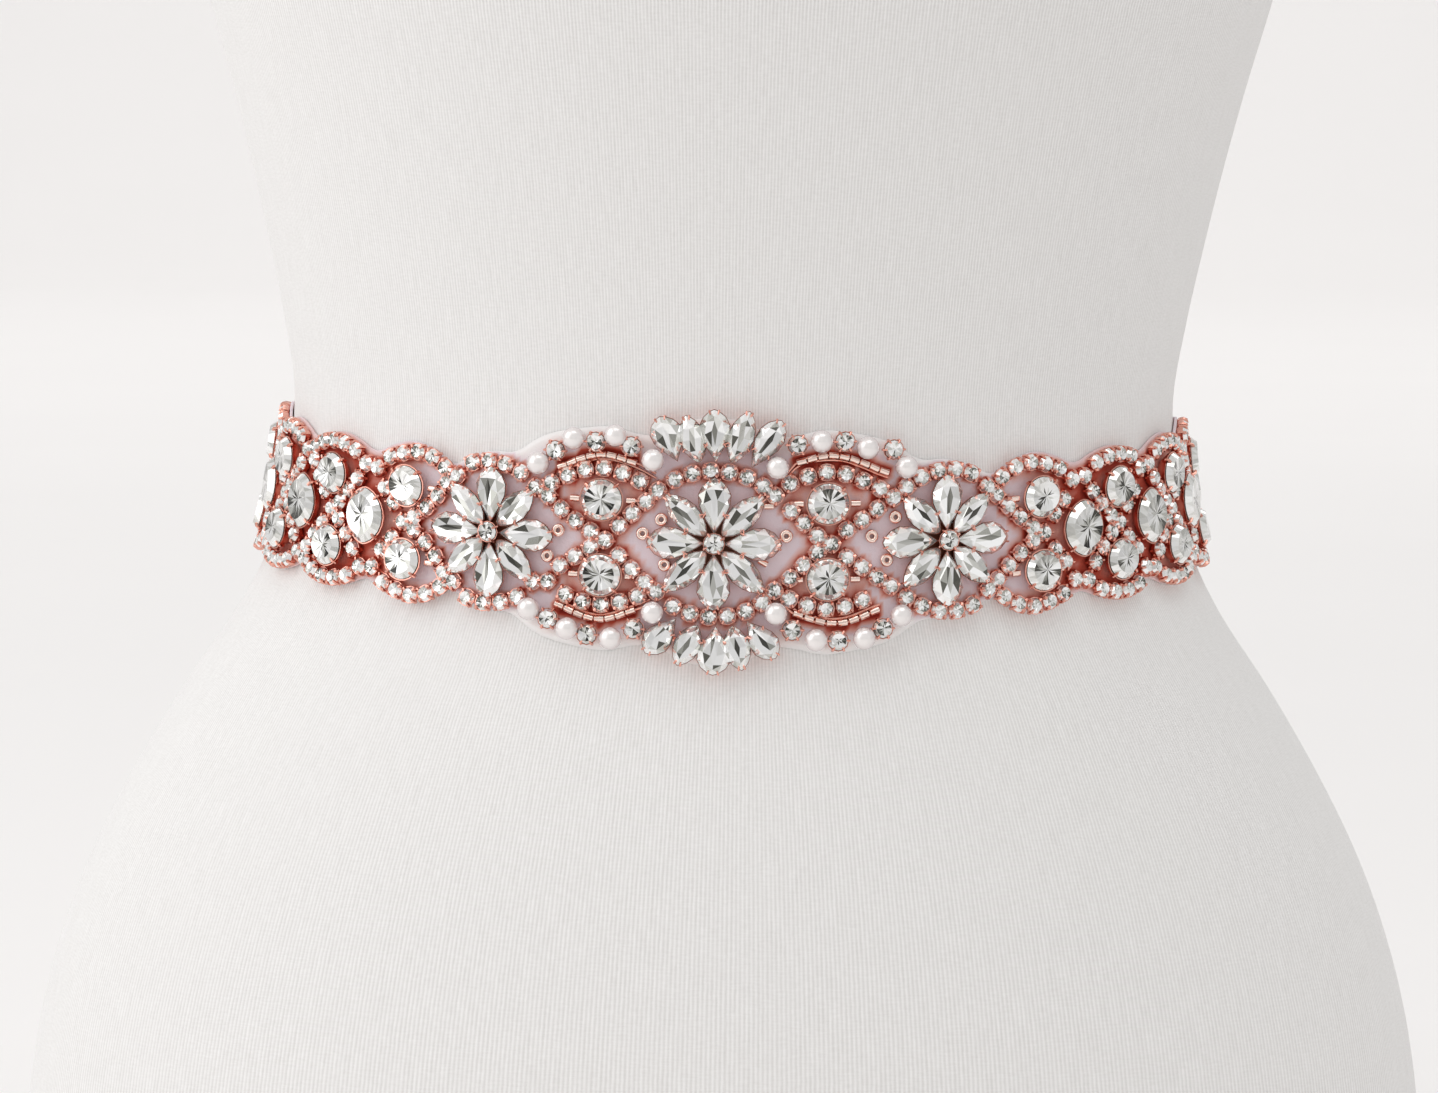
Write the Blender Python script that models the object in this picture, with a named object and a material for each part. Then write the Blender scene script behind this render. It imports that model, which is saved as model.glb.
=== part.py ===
"""A bridal sash with a stone and pearl applique, worn on a limbless dress form.

Blender 4.5, metres, +Z up. The front faces -Y and the form stands on Z = 0.
Sizes below are in millimetres. Everything on the sash is laid out flat, as
(s, h, d): s along the sash from its front middle, h up from its centre line and
d out from the form. on_band() wraps that layout round the form.
"""

import bmesh
import bpy
import numpy as np

MM = 0.001

# Dress form
FORM_SECTIONS = (
    # height, half width, front depth, back depth
    (0.0, 193.5, 103.0, 110.0),
    (40.0, 194.8, 106.0, 115.5),
    (75.0, 193.4, 107.0, 118.0),
    (109.0, 186.8, 106.0, 117.0),
    (142.0, 174.9, 103.5, 112.5),
    (165.0, 163.1, 101.0, 107.0),
    (187.0, 149.9, 98.0, 101.5),
    (210.0, 134.6, 95.0, 96.5),
    (222.0, 128.6, 93.8, 94.5),
    (235.0, 124.8, 92.6, 92.6),
    (250.0, 122.4, 91.3, 91.0),
    (266.0, 121.2, 90.8, 90.2),
    (288.0, 124.3, 92.2, 90.6),
    (310.0, 128.8, 95.5, 91.8),
    (332.0, 133.8, 100.0, 93.2),
    (354.0, 139.4, 105.0, 94.8),
    (376.0, 145.6, 110.5, 96.5),
    (410.0, 154.0, 117.0, 98.5),
    (445.0, 160.0, 118.0, 100.0),
    (480.0, 163.5, 110.0, 99.0),
    (510.0, 160.0, 92.0, 93.0),
    (532.0, 140.0, 71.0, 80.0),
    (548.0, 104.0, 56.0, 66.0),
    (562.0, 70.0, 50.0, 56.0),
    (580.0, 56.0, 49.0, 50.0),
    (620.0, 53.0, 49.0, 48.0),
)
FORM_LEVELS = (0, 25, 50, 75, 105, 135, 160, 178, 191, 203, 215, 227, 239, 251, 263, 276,
               300, 335, 370, 410, 445, 475, 500, 520, 534, 546, 560, 580, 620)
FORM_SIDES = 40

# Sash
SASH_HEIGHT = 235.0
SASH_RISE = 7.3
SASH_SHIFT = -4.7
CLOTH_LIFT = 0.4
CLOTH_WALL = 1.0
APPLIQUE_END = 206.5
CLOTH_STEP = 4.5
CLOTH_ROWS = 5
CLOTH_EDGE = (
    # distance from the front middle, height of the cut edge
    (0.0, 33.0), (8.0, 32.0), (14.5, 27.5), (21.0, 28.0), (28.0, 30.0), (35.0, 29.0),
    (41.0, 28.0), (47.0, 26.0), (51.5, 22.5),
)
CLOTH_EDGE_SIDE = ((-5.0, 20.8), (0.0, 21.7), (7.5, 19.7))
FIRST_SCALLOP = ((-13.5, 15.8), (-7.0, 20.0), (0.0, 22.0), (7.0, 20.0))
SCALLOP_PEAK = 21.0
SCALLOP_VALLEY = 16.8
SCALLOP_SHOULDER = 1.2
LOWER_EDGE_RISE = 1.0

# Places along the sash, out from the front middle
EYE = 29.0
SIDES = (
    # side, direction, side flower, first pair of stones
    ("right", 1, 60.5, 88.2),
    ("left", -1, 58.9, 84.6),
)
REPEAT = 27.0
REPEATS = 4

# Ribbon
RIBBON_HALF = 16.0
RIBBON_OVERLAP = 10.0
RIBBON_RAMP = 16.0
RIBBON_STEP = 10.0
SEAM_GAP = 0.3

# Stones and beads, measured out from the form
SEAT = 1.8
CHAIN_PITCH = 4.8
CHAIN_WIDTH = 4.2
CHAIN_RISE = 2.6
BUGLE_PITCH = 2.9
BUGLE_WIDTH = 1.7
BUGLE_RISE = 1.5
STRAND_WIDTH = 1.6
STRAND_RISE = 1.4
PEARL_RADIUS = 3.0
CLAW_STONE_RADIUS = 2.5
ROUND_RADIUS = 5.3
SINGLE_SIZE = (6.3, 7.3)
STONE_GIRDLE = 3.0
STONE_TOP = 4.6
SINGLE_TOP = 5.0
PETAL_GIRDLE = 2.8
HUB_GIRDLE = 4.4
HUB_TOP = 5.4
PLATE_GIRDLE = 0.8
PLATE_TOP = 1.3
CLAW_STONE_GIRDLE = 2.4
CLAW_STONE_TOP = 3.6
FAN_BAR_WIDTH = 3.0
FAN_BAR_RISE = 1.6
# Bodies that cross are set this far apart in height, so that no faces share a plane.
OFFSET = 0.03
PETAL_OFFSET = 0.13

RING_KEYS = ((0.0, 19.0), (9.9, 16.7), (17.7, 10.4), (EYE, 0.0), (40.2, 7.6))
RING_HALF = ((-12.0, 13.6), (-6.5, 16.9), (0.0, 18.6), (6.5, 17.6), (12.5, 13.0))
RING_CORNER = (-8.0, 6.3)
WAVE_PEAK = 13.6
FIRST_ARC = ((-15.0, 12.6), (-12.5, 14.8), (-8.5, 17.6), (-2.5, 19.0), (5.0, 17.2), (13.5, 14.0))
ARC_PEAK = 18.3
ARC_VALLEY = 14.2
EYE_ARC_SPAN = ((15.0, 0.71), (20.0, 0.86), (29.5, 1.0), (41.5, 0.79), (47.0, 0.62))
EYE_ARC_TOP = 18.8
EYE_ARC_BOTTOM = -16.8
EYE_STONES = (("top", 10.5), ("bottom", -9.2))
PAIR_STONES = (("top", 9.6), ("bottom", -10.0))

PETAL_INNER = 2.8
PETAL_OUTER = 17.2
PEAR_WIDTH = 7.0
MARQUISE_WIDTH = 6.0
MARQUISE_REACH = {"centre": 17.6, "left": 16.3, "right": 16.3}
PLATE_RADIUS = 7.4
PEAR = ((0.0, 0.0), (0.42, 0.38), (0.78, 0.5), (1.0, 0.0), (0.78, -0.5), (0.42, -0.38))
MARQUISE = ((0.0, 0.0), (0.3, 0.42), (0.7, 0.42), (1.0, 0.0), (0.7, -0.42), (0.3, -0.42))

FANS = {
    # petal root, petal tip, width
    "top": (((-9.6, 21.5), (-14.3, 33.1), 7.4), ((-4.0, 21.3), (-7.6, 33.6), 6.0),
            ((0.2, 21.5), (-0.4, 35.4), 7.0), ((4.3, 21.3), (8.7, 35.0), 6.0),
            ((9.2, 20.0), (16.8, 32.6), 6.4)),
    "bottom": (((-9.3, -19.7), (-16.7, -28.8), 6.4), ((-3.9, -21.3), (-8.7, -31.7), 6.0),
               ((0.8, -21.5), (0.2, -34.1), 7.6), ((4.9, -21.3), (7.5, -32.7), 6.0),
               ((8.6, -20.0), (15.8, -29.5), 6.4)),
}
FAN_BAR = {"top": ((-12.0, 26.4), (0.0, 27.2), (13.4, 25.4)),
           "bottom": ((-13.4, -24.0), (0.0, -26.8), (12.2, -24.6))}

TRIM = {
    # pearls, claw-set stones, bugle arc
    "top_right": (((15.9, 20.1), (27.0, 27.1), (39.0, 25.2), (49.2, 19.8)),
                  ((21.0, 26.1), (33.2, 26.9), (46.0, 24.5)),
                  ((20.8, 21.2), (29.6, 23.2), (45.2, 18.2))),
    "top_left": (((-15.8, 21.5), (-25.5, 27.7), (-36.5, 26.4), (-45.8, 19.2)),
                 ((-21.5, 24.9), (-30.8, 25.7), (-41.5, 22.8)),
                 ((-41.2, 18.4), (-29.0, 22.4), (-20.2, 20.4))),
    "bottom_right": (((15.8, -18.0), (25.9, -24.9), (38.1, -24.7), (47.8, -19.1)),
                     ((20.0, -22.3), (31.6, -25.2), (43.1, -22.3)),
                     ((20.2, -17.8), (31.6, -20.7), (42.8, -17.2))),
    "bottom_left": (((-15.3, -18.3), (-25.6, -25.5), (-36.9, -23.6), (-47.2, -19.2)),
                    ((-20.0, -22.7), (-31.8, -24.8), (-42.2, -21.3)),
                    ((-41.1, -17.2), (-29.0, -20.7), (-19.8, -17.7))),
}


def clear_scene():
    for obj in list(bpy.data.objects):
        bpy.data.objects.remove(obj)


def material(name, colour, metallic=0.0, roughness=0.5):
    made = bpy.data.materials.new(name)
    made.use_nodes = True
    shader = made.node_tree.nodes["Principled BSDF"]
    shader.inputs["Base Color"].default_value = (*colour, 1.0)
    shader.inputs["Metallic"].default_value = metallic
    shader.inputs["Roughness"].default_value = roughness
    return made


SECTION_HEIGHTS = np.array([row[0] for row in FORM_SECTIONS])
SECTION_SIZES = np.array([row[1:] for row in FORM_SECTIONS])
SECTION_SLOPES = np.gradient(SECTION_SIZES, SECTION_HEIGHTS, axis=0)


def form_sizes(height):
    """Half width, front depth and back depth of the form at each height."""
    height = np.clip(height, SECTION_HEIGHTS[0], SECTION_HEIGHTS[-1])
    i = np.clip(np.searchsorted(SECTION_HEIGHTS, height) - 1, 0, len(SECTION_HEIGHTS) - 2)
    span = (SECTION_HEIGHTS[i + 1] - SECTION_HEIGHTS[i])[:, None]
    t = (height - SECTION_HEIGHTS[i])[:, None] / span
    low = SECTION_SIZES[i] * (1 + 2 * t) + SECTION_SLOPES[i] * span * t
    high = SECTION_SIZES[i + 1] * (3 - 2 * t) + SECTION_SLOPES[i + 1] * span * (t - 1)
    return (low * (1 - t) ** 2 + high * t**2).T


def form_points(angle, height):
    """Points of the form's skin. Angle 0 is the front middle, and grows towards +X."""
    half_width, front, back = form_sizes(height)
    depth = np.where(np.cos(angle) > 0, front, back)
    return np.stack([half_width * np.sin(angle), -depth * np.cos(angle), height], axis=1)


def girth(height):
    half_width, front, back = form_sizes(height)
    return half_width + (front + back) / 2


def centre_height(angle):
    """The sash dips a little at the front."""
    return SASH_HEIGHT + SASH_RISE * (1 - np.cos(angle))


LINE_ANGLES = np.linspace(-1.25 * np.pi, 1.25 * np.pi, 1001)
LINE_POINTS = form_points(LINE_ANGLES, centre_height(LINE_ANGLES))
LINE_STEPS = np.linalg.norm(np.diff(LINE_POINTS, axis=0), axis=1)
LINE_LENGTHS = np.concatenate([[0.0], np.cumsum(LINE_STEPS)])
LINE_LENGTHS -= np.interp(0.0, LINE_ANGLES, LINE_LENGTHS)
HALF_GIRTH = float(np.interp(np.pi, LINE_ANGLES, LINE_LENGTHS))


def on_band(points):
    """Wraps points of the flat layout round the form, and turns them to metres."""
    s, h, d = np.asarray(points, float).T
    angle = np.interp(s + SASH_SHIFT, LINE_LENGTHS, LINE_ANGLES)
    line = centre_height(angle)
    height = line + h
    angle = angle * girth(line) / girth(height)
    step = 0.005
    across = form_points(angle + step, height) - form_points(angle - step, height)
    up = form_points(angle, height + 1) - form_points(angle, height - 1)
    outward = np.cross(across, up)
    outward /= np.linalg.norm(outward, axis=1)[:, None]
    return (form_points(angle, height) + outward * d[:, None]) * MM


def smooth_path(keys, step):
    """Evenly spaced points on a smooth curve through the keys."""
    keys = np.asarray(keys, float)
    lengths = np.concatenate([[0.0], np.cumsum(np.linalg.norm(np.diff(keys, axis=0), axis=1))])
    slopes = np.gradient(keys, lengths, axis=0)
    fine = []
    for i, span in enumerate(np.diff(lengths)):
        for t in np.linspace(0, 1, 12, endpoint=False):
            low = keys[i] * (1 + 2 * t) + slopes[i] * span * t
            high = keys[i + 1] * (3 - 2 * t) + slopes[i + 1] * span * (t - 1)
            fine.append(low * (1 - t) ** 2 + high * t**2)
    fine = np.array(fine + [keys[-1]])
    travelled = np.concatenate([[0.0], np.cumsum(np.linalg.norm(np.diff(fine, axis=0), axis=1))])
    count = max(1, round(travelled[-1] / step))
    even = np.linspace(0, travelled[-1], count + 1)
    return np.stack([np.interp(even, travelled, fine[:, k]) for k in range(2)], axis=1)


def loft(rings):
    """A closed body through rings of equal length: (points, faces)."""
    points = np.concatenate(rings)
    count = len(rings[0])
    faces = [list(range(count))[::-1], [len(points) - count + i for i in range(count)]]
    for ring in range(len(rings) - 1):
        for i in range(count):
            j = (i + 1) % count
            faces.append([ring * count + i, ring * count + j,
                          (ring + 1) * count + j, (ring + 1) * count + i])
    return points, faces


def ridge(keys, pitch, width, rise, seat=SEAT):
    """A row of small stones or beads along a curve, as one ridge."""
    path = smooth_path(keys, pitch)
    along = np.gradient(path, axis=0)
    along /= np.linalg.norm(along, axis=1)[:, None]
    side = np.stack([-along[:, 1], along[:, 0]], axis=1) * width / 2
    rings = [np.array([(*(point - out), seat), (*(point + out), seat), (*point, seat + rise)])
             for point, out in zip(path, side)]
    return loft(rings)


def chain(keys, seat=SEAT):
    return ridge(keys, CHAIN_PITCH, CHAIN_WIDTH, CHAIN_RISE, seat)


def stone(outline, girdle=STONE_GIRDLE, top=STONE_TOP, seat=SEAT, foot=0.55, table=0.5):
    """A cut stone: its outline at the girdle, smaller at the foot and at the table."""
    outline = np.asarray(outline, float)
    middle = outline.mean(axis=0)
    rings = []
    for scale, height in ((foot, seat), (1.0, seat + girdle), (table, seat + top)):
        ring = middle + (outline - middle) * scale
        rings.append(np.column_stack([ring, np.full(len(ring), height)]))
    return loft(rings)


def polygon(centre, radius, sides, turn=0.0):
    angle = np.arange(sides) * 2 * np.pi / sides + turn
    return np.asarray(centre) + np.asarray(radius) * np.stack([np.cos(angle), np.sin(angle)], axis=1)


def petal(root, tip, width, shape):
    """The outline of a pointed stone from its root to its tip."""
    root = np.asarray(root, float)
    along = np.asarray(tip, float) - root
    across = np.array([-along[1], along[0]]) / np.linalg.norm(along) * width
    return np.array([root + along * u + across * v for u, v in shape])


def pearl(centre):
    """A round bead of six sides."""
    rings = []
    for tilt in (-76, -26, 26, 76):
        ring = polygon(centre, PEARL_RADIUS * np.cos(np.radians(tilt)), 6)
        height = SEAT + PEARL_RADIUS + PEARL_RADIUS * np.sin(np.radians(tilt))
        rings.append(np.column_stack([ring, np.full(len(ring), height)]))
    return loft(rings)


def flat_object(body):
    points, faces = body
    mesh = bpy.data.meshes.new("flat")
    mesh.from_pydata([tuple(point) for point in points], [], faces)
    edit = bmesh.new()
    edit.from_mesh(mesh)
    bmesh.ops.recalc_face_normals(edit, faces=edit.faces)
    bmesh.ops.triangulate(edit, faces=edit.faces)
    edit.to_mesh(mesh)
    edit.free()
    obj = bpy.data.objects.new("flat", mesh)
    bpy.context.scene.collection.objects.link(obj)
    return obj


def united(bodies):
    """The union of flat bodies, as one mesh of triangles."""
    base = flat_object(bodies[0])
    others = bpy.data.collections.new("union")
    bpy.context.scene.collection.children.link(others)
    helpers = [base]
    for body in bodies[1:]:
        helper = flat_object(body)
        bpy.context.scene.collection.objects.unlink(helper)
        others.objects.link(helper)
        helpers.append(helper)
    if len(bodies) > 1:
        union = base.modifiers.new("union", "BOOLEAN")
        union.operation = "UNION"
        union.operand_type = "COLLECTION"
        union.collection = others
        union.solver = "EXACT"
    bpy.context.view_layer.update()
    evaluated = base.evaluated_get(bpy.context.evaluated_depsgraph_get())
    result = bpy.data.meshes.new_from_object(evaluated)
    for helper in helpers:
        bpy.data.objects.remove(helper)
    bpy.data.collections.remove(others)
    edit = bmesh.new()
    edit.from_mesh(result)
    bmesh.ops.triangulate(edit, faces=edit.faces)
    edit.to_mesh(result)
    edit.free()
    return result


def add_piece(name, bodies, finish):
    """A piece of the sash: flat bodies made one, then wrapped round the form."""
    mesh = united(bodies)
    flat = np.array([vertex.co for vertex in mesh.vertices])
    for vertex, place in zip(mesh.vertices, on_band(flat)):
        vertex.co = place
    mesh.name = name
    mesh.materials.clear()
    mesh.materials.append(finish)
    obj = bpy.data.objects.new(name, mesh)
    bpy.context.scene.collection.objects.link(obj)
    return obj


def build_form(finish):
    angle = np.arange(FORM_SIDES) * 2 * np.pi / FORM_SIDES
    rings = [form_points(angle, np.full(FORM_SIDES, float(level))) * MM for level in FORM_LEVELS]
    obj = flat_object(loft(rings))
    obj.name = "dress_form"
    obj.data.name = "dress_form"
    obj.data.materials.append(finish)
    obj.data.shade_smooth()
    obj.data.set_sharp_from_angle(angle=np.radians(50))


def cloth_grid(stations, low_edge, high_edge, lift):
    """A strip of cloth: rows across each station, one wall thick."""
    rings = []
    for s, low, high, out in zip(stations, low_edge, high_edge, lift):
        heights = np.linspace(low, high, CLOTH_ROWS)
        inner = [(s, h, out) for h in heights]
        outer = [(s, h, out + CLOTH_WALL) for h in heights[::-1]]
        rings.append(np.array(inner + outer))
    points, faces = loft(rings)
    last = len(points) - 2 * CLOTH_ROWS
    end_strips = []
    for start in (0, last):
        for i in range(CLOTH_ROWS - 1):
            other = 2 * CLOTH_ROWS - 1 - i
            end_strips.append([start + i, start + i + 1, start + other - 1, start + other])
    return points, end_strips + faces[2:]


def repeat_starts(first):
    return [first + REPEAT * i for i in range(REPEATS)]


def both_sides(right, left):
    """Keys from the left end to the right end, where the first of each is the front middle."""
    return [(-s, h) for s, h in left[:0:-1]] + list(right)


def scallops(first, peak, valley):
    """The repeat along the side, from its first valley to the end of the applique."""
    keys = []
    for start in repeat_starts(first)[1:]:
        keys += [(start - REPEAT / 4, peak - SCALLOP_SHOULDER), (start, peak),
                 (start + REPEAT / 4, peak - SCALLOP_SHOULDER), (start + REPEAT / 2, valley)]
    return [key for key in keys if key[0] < APPLIQUE_END - REPEAT / 4]


def cloth_edge_keys(flower, first):
    keys = list(CLOTH_EDGE)
    keys += [(flower + s, h) for s, h in CLOTH_EDGE_SIDE]
    keys += [(first + s, h) for s, h in FIRST_SCALLOP]
    keys += [(first + REPEAT / 2, SCALLOP_VALLEY)]
    keys += scallops(first, SCALLOP_PEAK, SCALLOP_VALLEY)
    return keys + [(APPLIQUE_END, SCALLOP_VALLEY + SCALLOP_SHOULDER)]


def build_backing(finish):
    right, left = (cloth_edge_keys(flower, first) for _, _, flower, first in SIDES)
    keys = np.array(both_sides(right, left))
    count = round(2 * APPLIQUE_END / CLOTH_STEP)
    stations = np.linspace(-APPLIQUE_END, APPLIQUE_END, count + 1)
    edge = np.interp(stations, keys[:, 0], keys[:, 1])
    lift = np.full(len(stations), CLOTH_LIFT)
    add_piece("backing_cloth", [cloth_grid(stations, LOWER_EDGE_RISE - edge, edge, lift)], finish)


def build_ribbons(finish):
    """Two plain lengths, the left one crossing over the right one at the back."""
    start = APPLIQUE_END + SEAM_GAP
    over = CLOTH_WALL + CLOTH_LIFT
    for side, sign in (("right", 1), ("left", -1)):
        end = HALF_GIRTH - sign * SASH_SHIFT + RIBBON_OVERLAP
        lengths = np.linspace(start, end, round((end - start) / RIBBON_STEP) + 1)
        lift = np.full(len(lengths), CLOTH_LIFT)
        if sign < 0:
            ramp = (lengths - (end - 2 * RIBBON_OVERLAP - 2 * RIBBON_RAMP)) / RIBBON_RAMP
            lift += over * np.clip(ramp, 0, 1)
        edge = np.full(len(lengths), RIBBON_HALF)
        strip = cloth_grid(lengths * sign, -edge, edge, lift)
        add_piece(f"ribbon_{side}", [strip], finish)


def wave_keys(flower, first):
    """The chain round the centre flower and the side flower, then from side to side of the repeat."""
    keys = [(s, h if s <= EYE else -h) for s, h in RING_KEYS]
    keys += [(flower + s, -h) for s, h in RING_HALF]
    keys += [(first + RING_CORNER[0], -RING_CORNER[1]), (first, 0.0)]
    for i, start in enumerate(repeat_starts(first)):
        peak = WAVE_PEAK * (-1) ** i
        keys += [(start + REPEAT / 4, peak / 2), (start + REPEAT / 2, peak),
                 (start + REPEAT * 3 / 4, peak / 2), (start + REPEAT, 0.0)]
    return [key for key in keys if key[0] < APPLIQUE_END - CHAIN_WIDTH]


def arc_keys(first):
    """The scallops over the pairs of stones."""
    keys = [(first + s, h) for s, h in FIRST_ARC] + scallops(first, ARC_PEAK, ARC_VALLEY)
    return keys + [(APPLIQUE_END - CHAIN_WIDTH / 2 - 0.5, ARC_VALLEY + 0.8)]


def build_chain(finish):
    """Two mirrored waves, the arcs over the eyes and the pairs, and a row across each end."""
    right, left = (wave_keys(flower, first) for _, _, flower, first in SIDES)
    wave = both_sides(right, left)
    rows = [chain(wave), chain([(s, -h) for s, h in wave], SEAT + OFFSET)]
    end = APPLIQUE_END - CHAIN_WIDTH / 2
    for _, sign, _, first in SIDES:
        for level in (1, -1):
            rows.append(chain([(sign * s, level * h) for s, h in arc_keys(first)], SEAT + 2 * OFFSET))
        for peak in (EYE_ARC_TOP, EYE_ARC_BOTTOM):
            rows.append(chain([(sign * s, peak * share) for s, share in EYE_ARC_SPAN], SEAT + 2 * OFFSET))
        column = [(sign * end, -ARC_VALLEY), (sign * end, 0.2), (sign * end, ARC_VALLEY)]
        rows.append(chain(column, SEAT + 3 * OFFSET))
    add_piece("crystal_chain", rows, finish)


def build_flowers(finish):
    """Eight petals round a small claw-set stone, on a round plate."""
    middles = [("centre", 0.0)] + [(side, sign * flower) for side, sign, flower, _ in SIDES]
    for name, middle in middles:
        centre = np.array([middle, 0.0])
        plate = stone(polygon(centre, PLATE_RADIUS, 8, 0.1), PLATE_GIRDLE, PLATE_TOP, SEAT + OFFSET, foot=1.0)
        hub = stone(polygon(centre, CLAW_STONE_RADIUS, 6, 0.2), HUB_GIRDLE, HUB_TOP, foot=0.8)
        bodies = [plate, hub]
        for k in range(8):
            turn = k * np.pi / 4
            ray = np.array([np.cos(turn), np.sin(turn)])
            if k % 2 == 0:
                outline = petal(centre + ray * PETAL_INNER, centre + ray * PETAL_OUTER, PEAR_WIDTH, PEAR)
            else:
                outline = petal(centre + ray * (PETAL_INNER + 1.6), centre + ray * MARQUISE_REACH[name],
                                MARQUISE_WIDTH, MARQUISE)
            bodies.append(stone(outline, PETAL_GIRDLE + PETAL_OFFSET * (k % 2), foot=0.62))
        add_piece(f"flower_{name}", bodies, finish)


def build_fans(finish):
    for place, petals in FANS.items():
        bar = ridge(FAN_BAR[place], 9.0, FAN_BAR_WIDTH, FAN_BAR_RISE, SEAT + OFFSET)
        bodies = [bar]
        for i, (root, tip, width) in enumerate(petals):
            outline = petal(root, tip, width, PEAR if i % 2 == 0 else MARQUISE)
            bodies.append(stone(outline, PETAL_GIRDLE - PETAL_OFFSET * (i % 2), foot=0.6))
        add_piece(f"fan_{place}", bodies, finish)


def build_trim(gold, nacre):
    """Pearls and claw-set stones on one strand, and the arc of bugle beads inside it."""
    for place, (pearls, stones, bugles) in TRIM.items():
        beads = sorted(pearls + stones, key=lambda bead: abs(bead[0]))
        strand = ridge(beads, 8.0, STRAND_WIDTH, STRAND_RISE, SEAT + OFFSET)
        bodies = [strand]
        bodies += [pearl(centre) for centre in pearls]
        for centre in stones:
            outline = polygon(centre, CLAW_STONE_RADIUS, 6, 0.3)
            bodies.append(stone(outline, CLAW_STONE_GIRDLE, CLAW_STONE_TOP, foot=0.8))
        add_piece(f"pearl_row_{place}", bodies, nacre)
        arc = ridge(bugles, BUGLE_PITCH, BUGLE_WIDTH, BUGLE_RISE)
        add_piece(f"bugle_arc_{place}", [arc], gold)


def build_large_stones(finish):
    for side, sign, _, first in SIDES:
        for level, height in EYE_STONES:
            outline = polygon((sign * EYE, height), ROUND_RADIUS, 8, np.pi / 8)
            add_piece(f"eye_stone_{level}_{side}", [stone(outline)], finish)
        for i, start in enumerate(repeat_starts(first), 1):
            for level, height in PAIR_STONES:
                outline = polygon((sign * start, height), ROUND_RADIUS, 8, np.pi / 8)
                add_piece(f"pair_stone_{i}_{level}_{side}", [stone(outline, foot=0.5)], finish)
            outline = polygon((sign * (start + REPEAT / 2), 0.0), SINGLE_SIZE, 8, np.pi / 8)
            add_piece(f"single_stone_{i}_{side}", [stone(outline, top=SINGLE_TOP)], finish)


clear_scene()
jersey = material("white_jersey", (0.80, 0.79, 0.77), roughness=0.9)
lilac = material("lilac_cloth", (0.77, 0.69, 0.75), roughness=0.8)
satin = material("ivory_satin", (0.86, 0.82, 0.80), roughness=0.35)
gold = material("rose_gold_chain", (0.75, 0.36, 0.28), metallic=0.8, roughness=0.3)
crystal = material("crystal", (0.80, 0.81, 0.80), metallic=0.3, roughness=0.1)
nacre = material("pearl_nacre", (0.85, 0.79, 0.81), roughness=0.25)
build_form(jersey)
build_backing(lilac)
build_ribbons(satin)
build_chain(gold)
build_flowers(crystal)
build_fans(crystal)
build_trim(gold, nacre)
build_large_stones(crystal)
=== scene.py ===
"""The looks of a bridal sash on a limbless dress form. Blender 4.5, metres, +Z up, the front faces -Y.

Lengths are in millimetres, and MM turns them to metres. What is on the sash is laid out flat, as (s, h, d):
s along the sash from its front middle, h up from its centre line and d out from the form.
"""

import bmesh
import bpy
import numpy as np
from mathutils import Matrix, Vector


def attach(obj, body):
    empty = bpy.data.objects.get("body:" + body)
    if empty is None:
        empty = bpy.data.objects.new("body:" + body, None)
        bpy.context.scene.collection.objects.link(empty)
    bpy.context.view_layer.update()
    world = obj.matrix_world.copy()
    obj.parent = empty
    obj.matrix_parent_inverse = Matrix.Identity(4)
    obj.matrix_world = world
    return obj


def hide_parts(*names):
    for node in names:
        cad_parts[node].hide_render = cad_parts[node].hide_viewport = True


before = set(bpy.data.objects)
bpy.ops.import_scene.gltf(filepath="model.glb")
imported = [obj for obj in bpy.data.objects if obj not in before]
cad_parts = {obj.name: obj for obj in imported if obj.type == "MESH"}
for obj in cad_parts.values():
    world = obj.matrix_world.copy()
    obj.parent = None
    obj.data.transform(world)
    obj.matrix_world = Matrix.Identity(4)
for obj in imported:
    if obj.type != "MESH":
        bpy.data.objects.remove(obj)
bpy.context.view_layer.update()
MM = 0.001

# Dress form
# A rigid moulded torso with no limbs, pulled into a white jersey cover of fine knitted ribs. The cover is one
# smooth skin over the body, drawn tight, so its ribs run up the form and spread where it is wider.
FORM_SECTIONS = (
    # height, half width, front depth, back depth
    (0, 193.5, 103, 110),
    (40, 194.8, 106, 115.5),
    (75, 193.4, 107, 118),
    (109, 186.8, 106, 117),
    (142, 174.9, 103.5, 112.5),
    (165, 163.1, 101, 107),
    (187, 149.9, 98, 101.5),
    (210, 134.6, 95, 96.5),
    (222, 128.6, 93.8, 94.5),
    (235, 124.8, 92.6, 92.6),
    (250, 122.4, 91.3, 91),
    (266, 121.2, 90.8, 90.2),
    (288, 124.3, 92.2, 90.6),
    (310, 128.8, 95.5, 91.8),
    (332, 133.8, 100, 93.2),
    (354, 139.4, 105, 94.8),
    (376, 145.6, 110.5, 96.5),
    (410, 154, 117, 98.5),
    (445, 160, 118, 100),
    (480, 163.5, 110, 99),
    (510, 160, 92, 93),
    (532, 140, 71, 80),
    (548, 104, 56, 66),
    (562, 70, 50, 56),
    (580, 56, 49, 50),
    (620, 53, 49, 48),
)
FORM_HEIGHTS = np.array([row[0] for row in FORM_SECTIONS])
FORM_SIZES = np.array([row[1:] for row in FORM_SECTIONS])
FORM_SLOPES = np.gradient(FORM_SIZES, FORM_HEIGHTS, axis=0)
FORM_TOP = FORM_HEIGHTS[-1]
FORM_WAIST = 250.0
FORM_SIDES = 192
FORM_STEP = 4.0
FORM_EDGE = 2.5
EDGE_LEVELS = np.array([0.6, 1.6])
RIB_PITCH = 0.8
SLUB_WIDTH = 0.55
SLUB_LENGTH = 9.0
KNIT_DEPTH = 0.4
JERSEY_WHITE = "F8F7F6"
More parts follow.
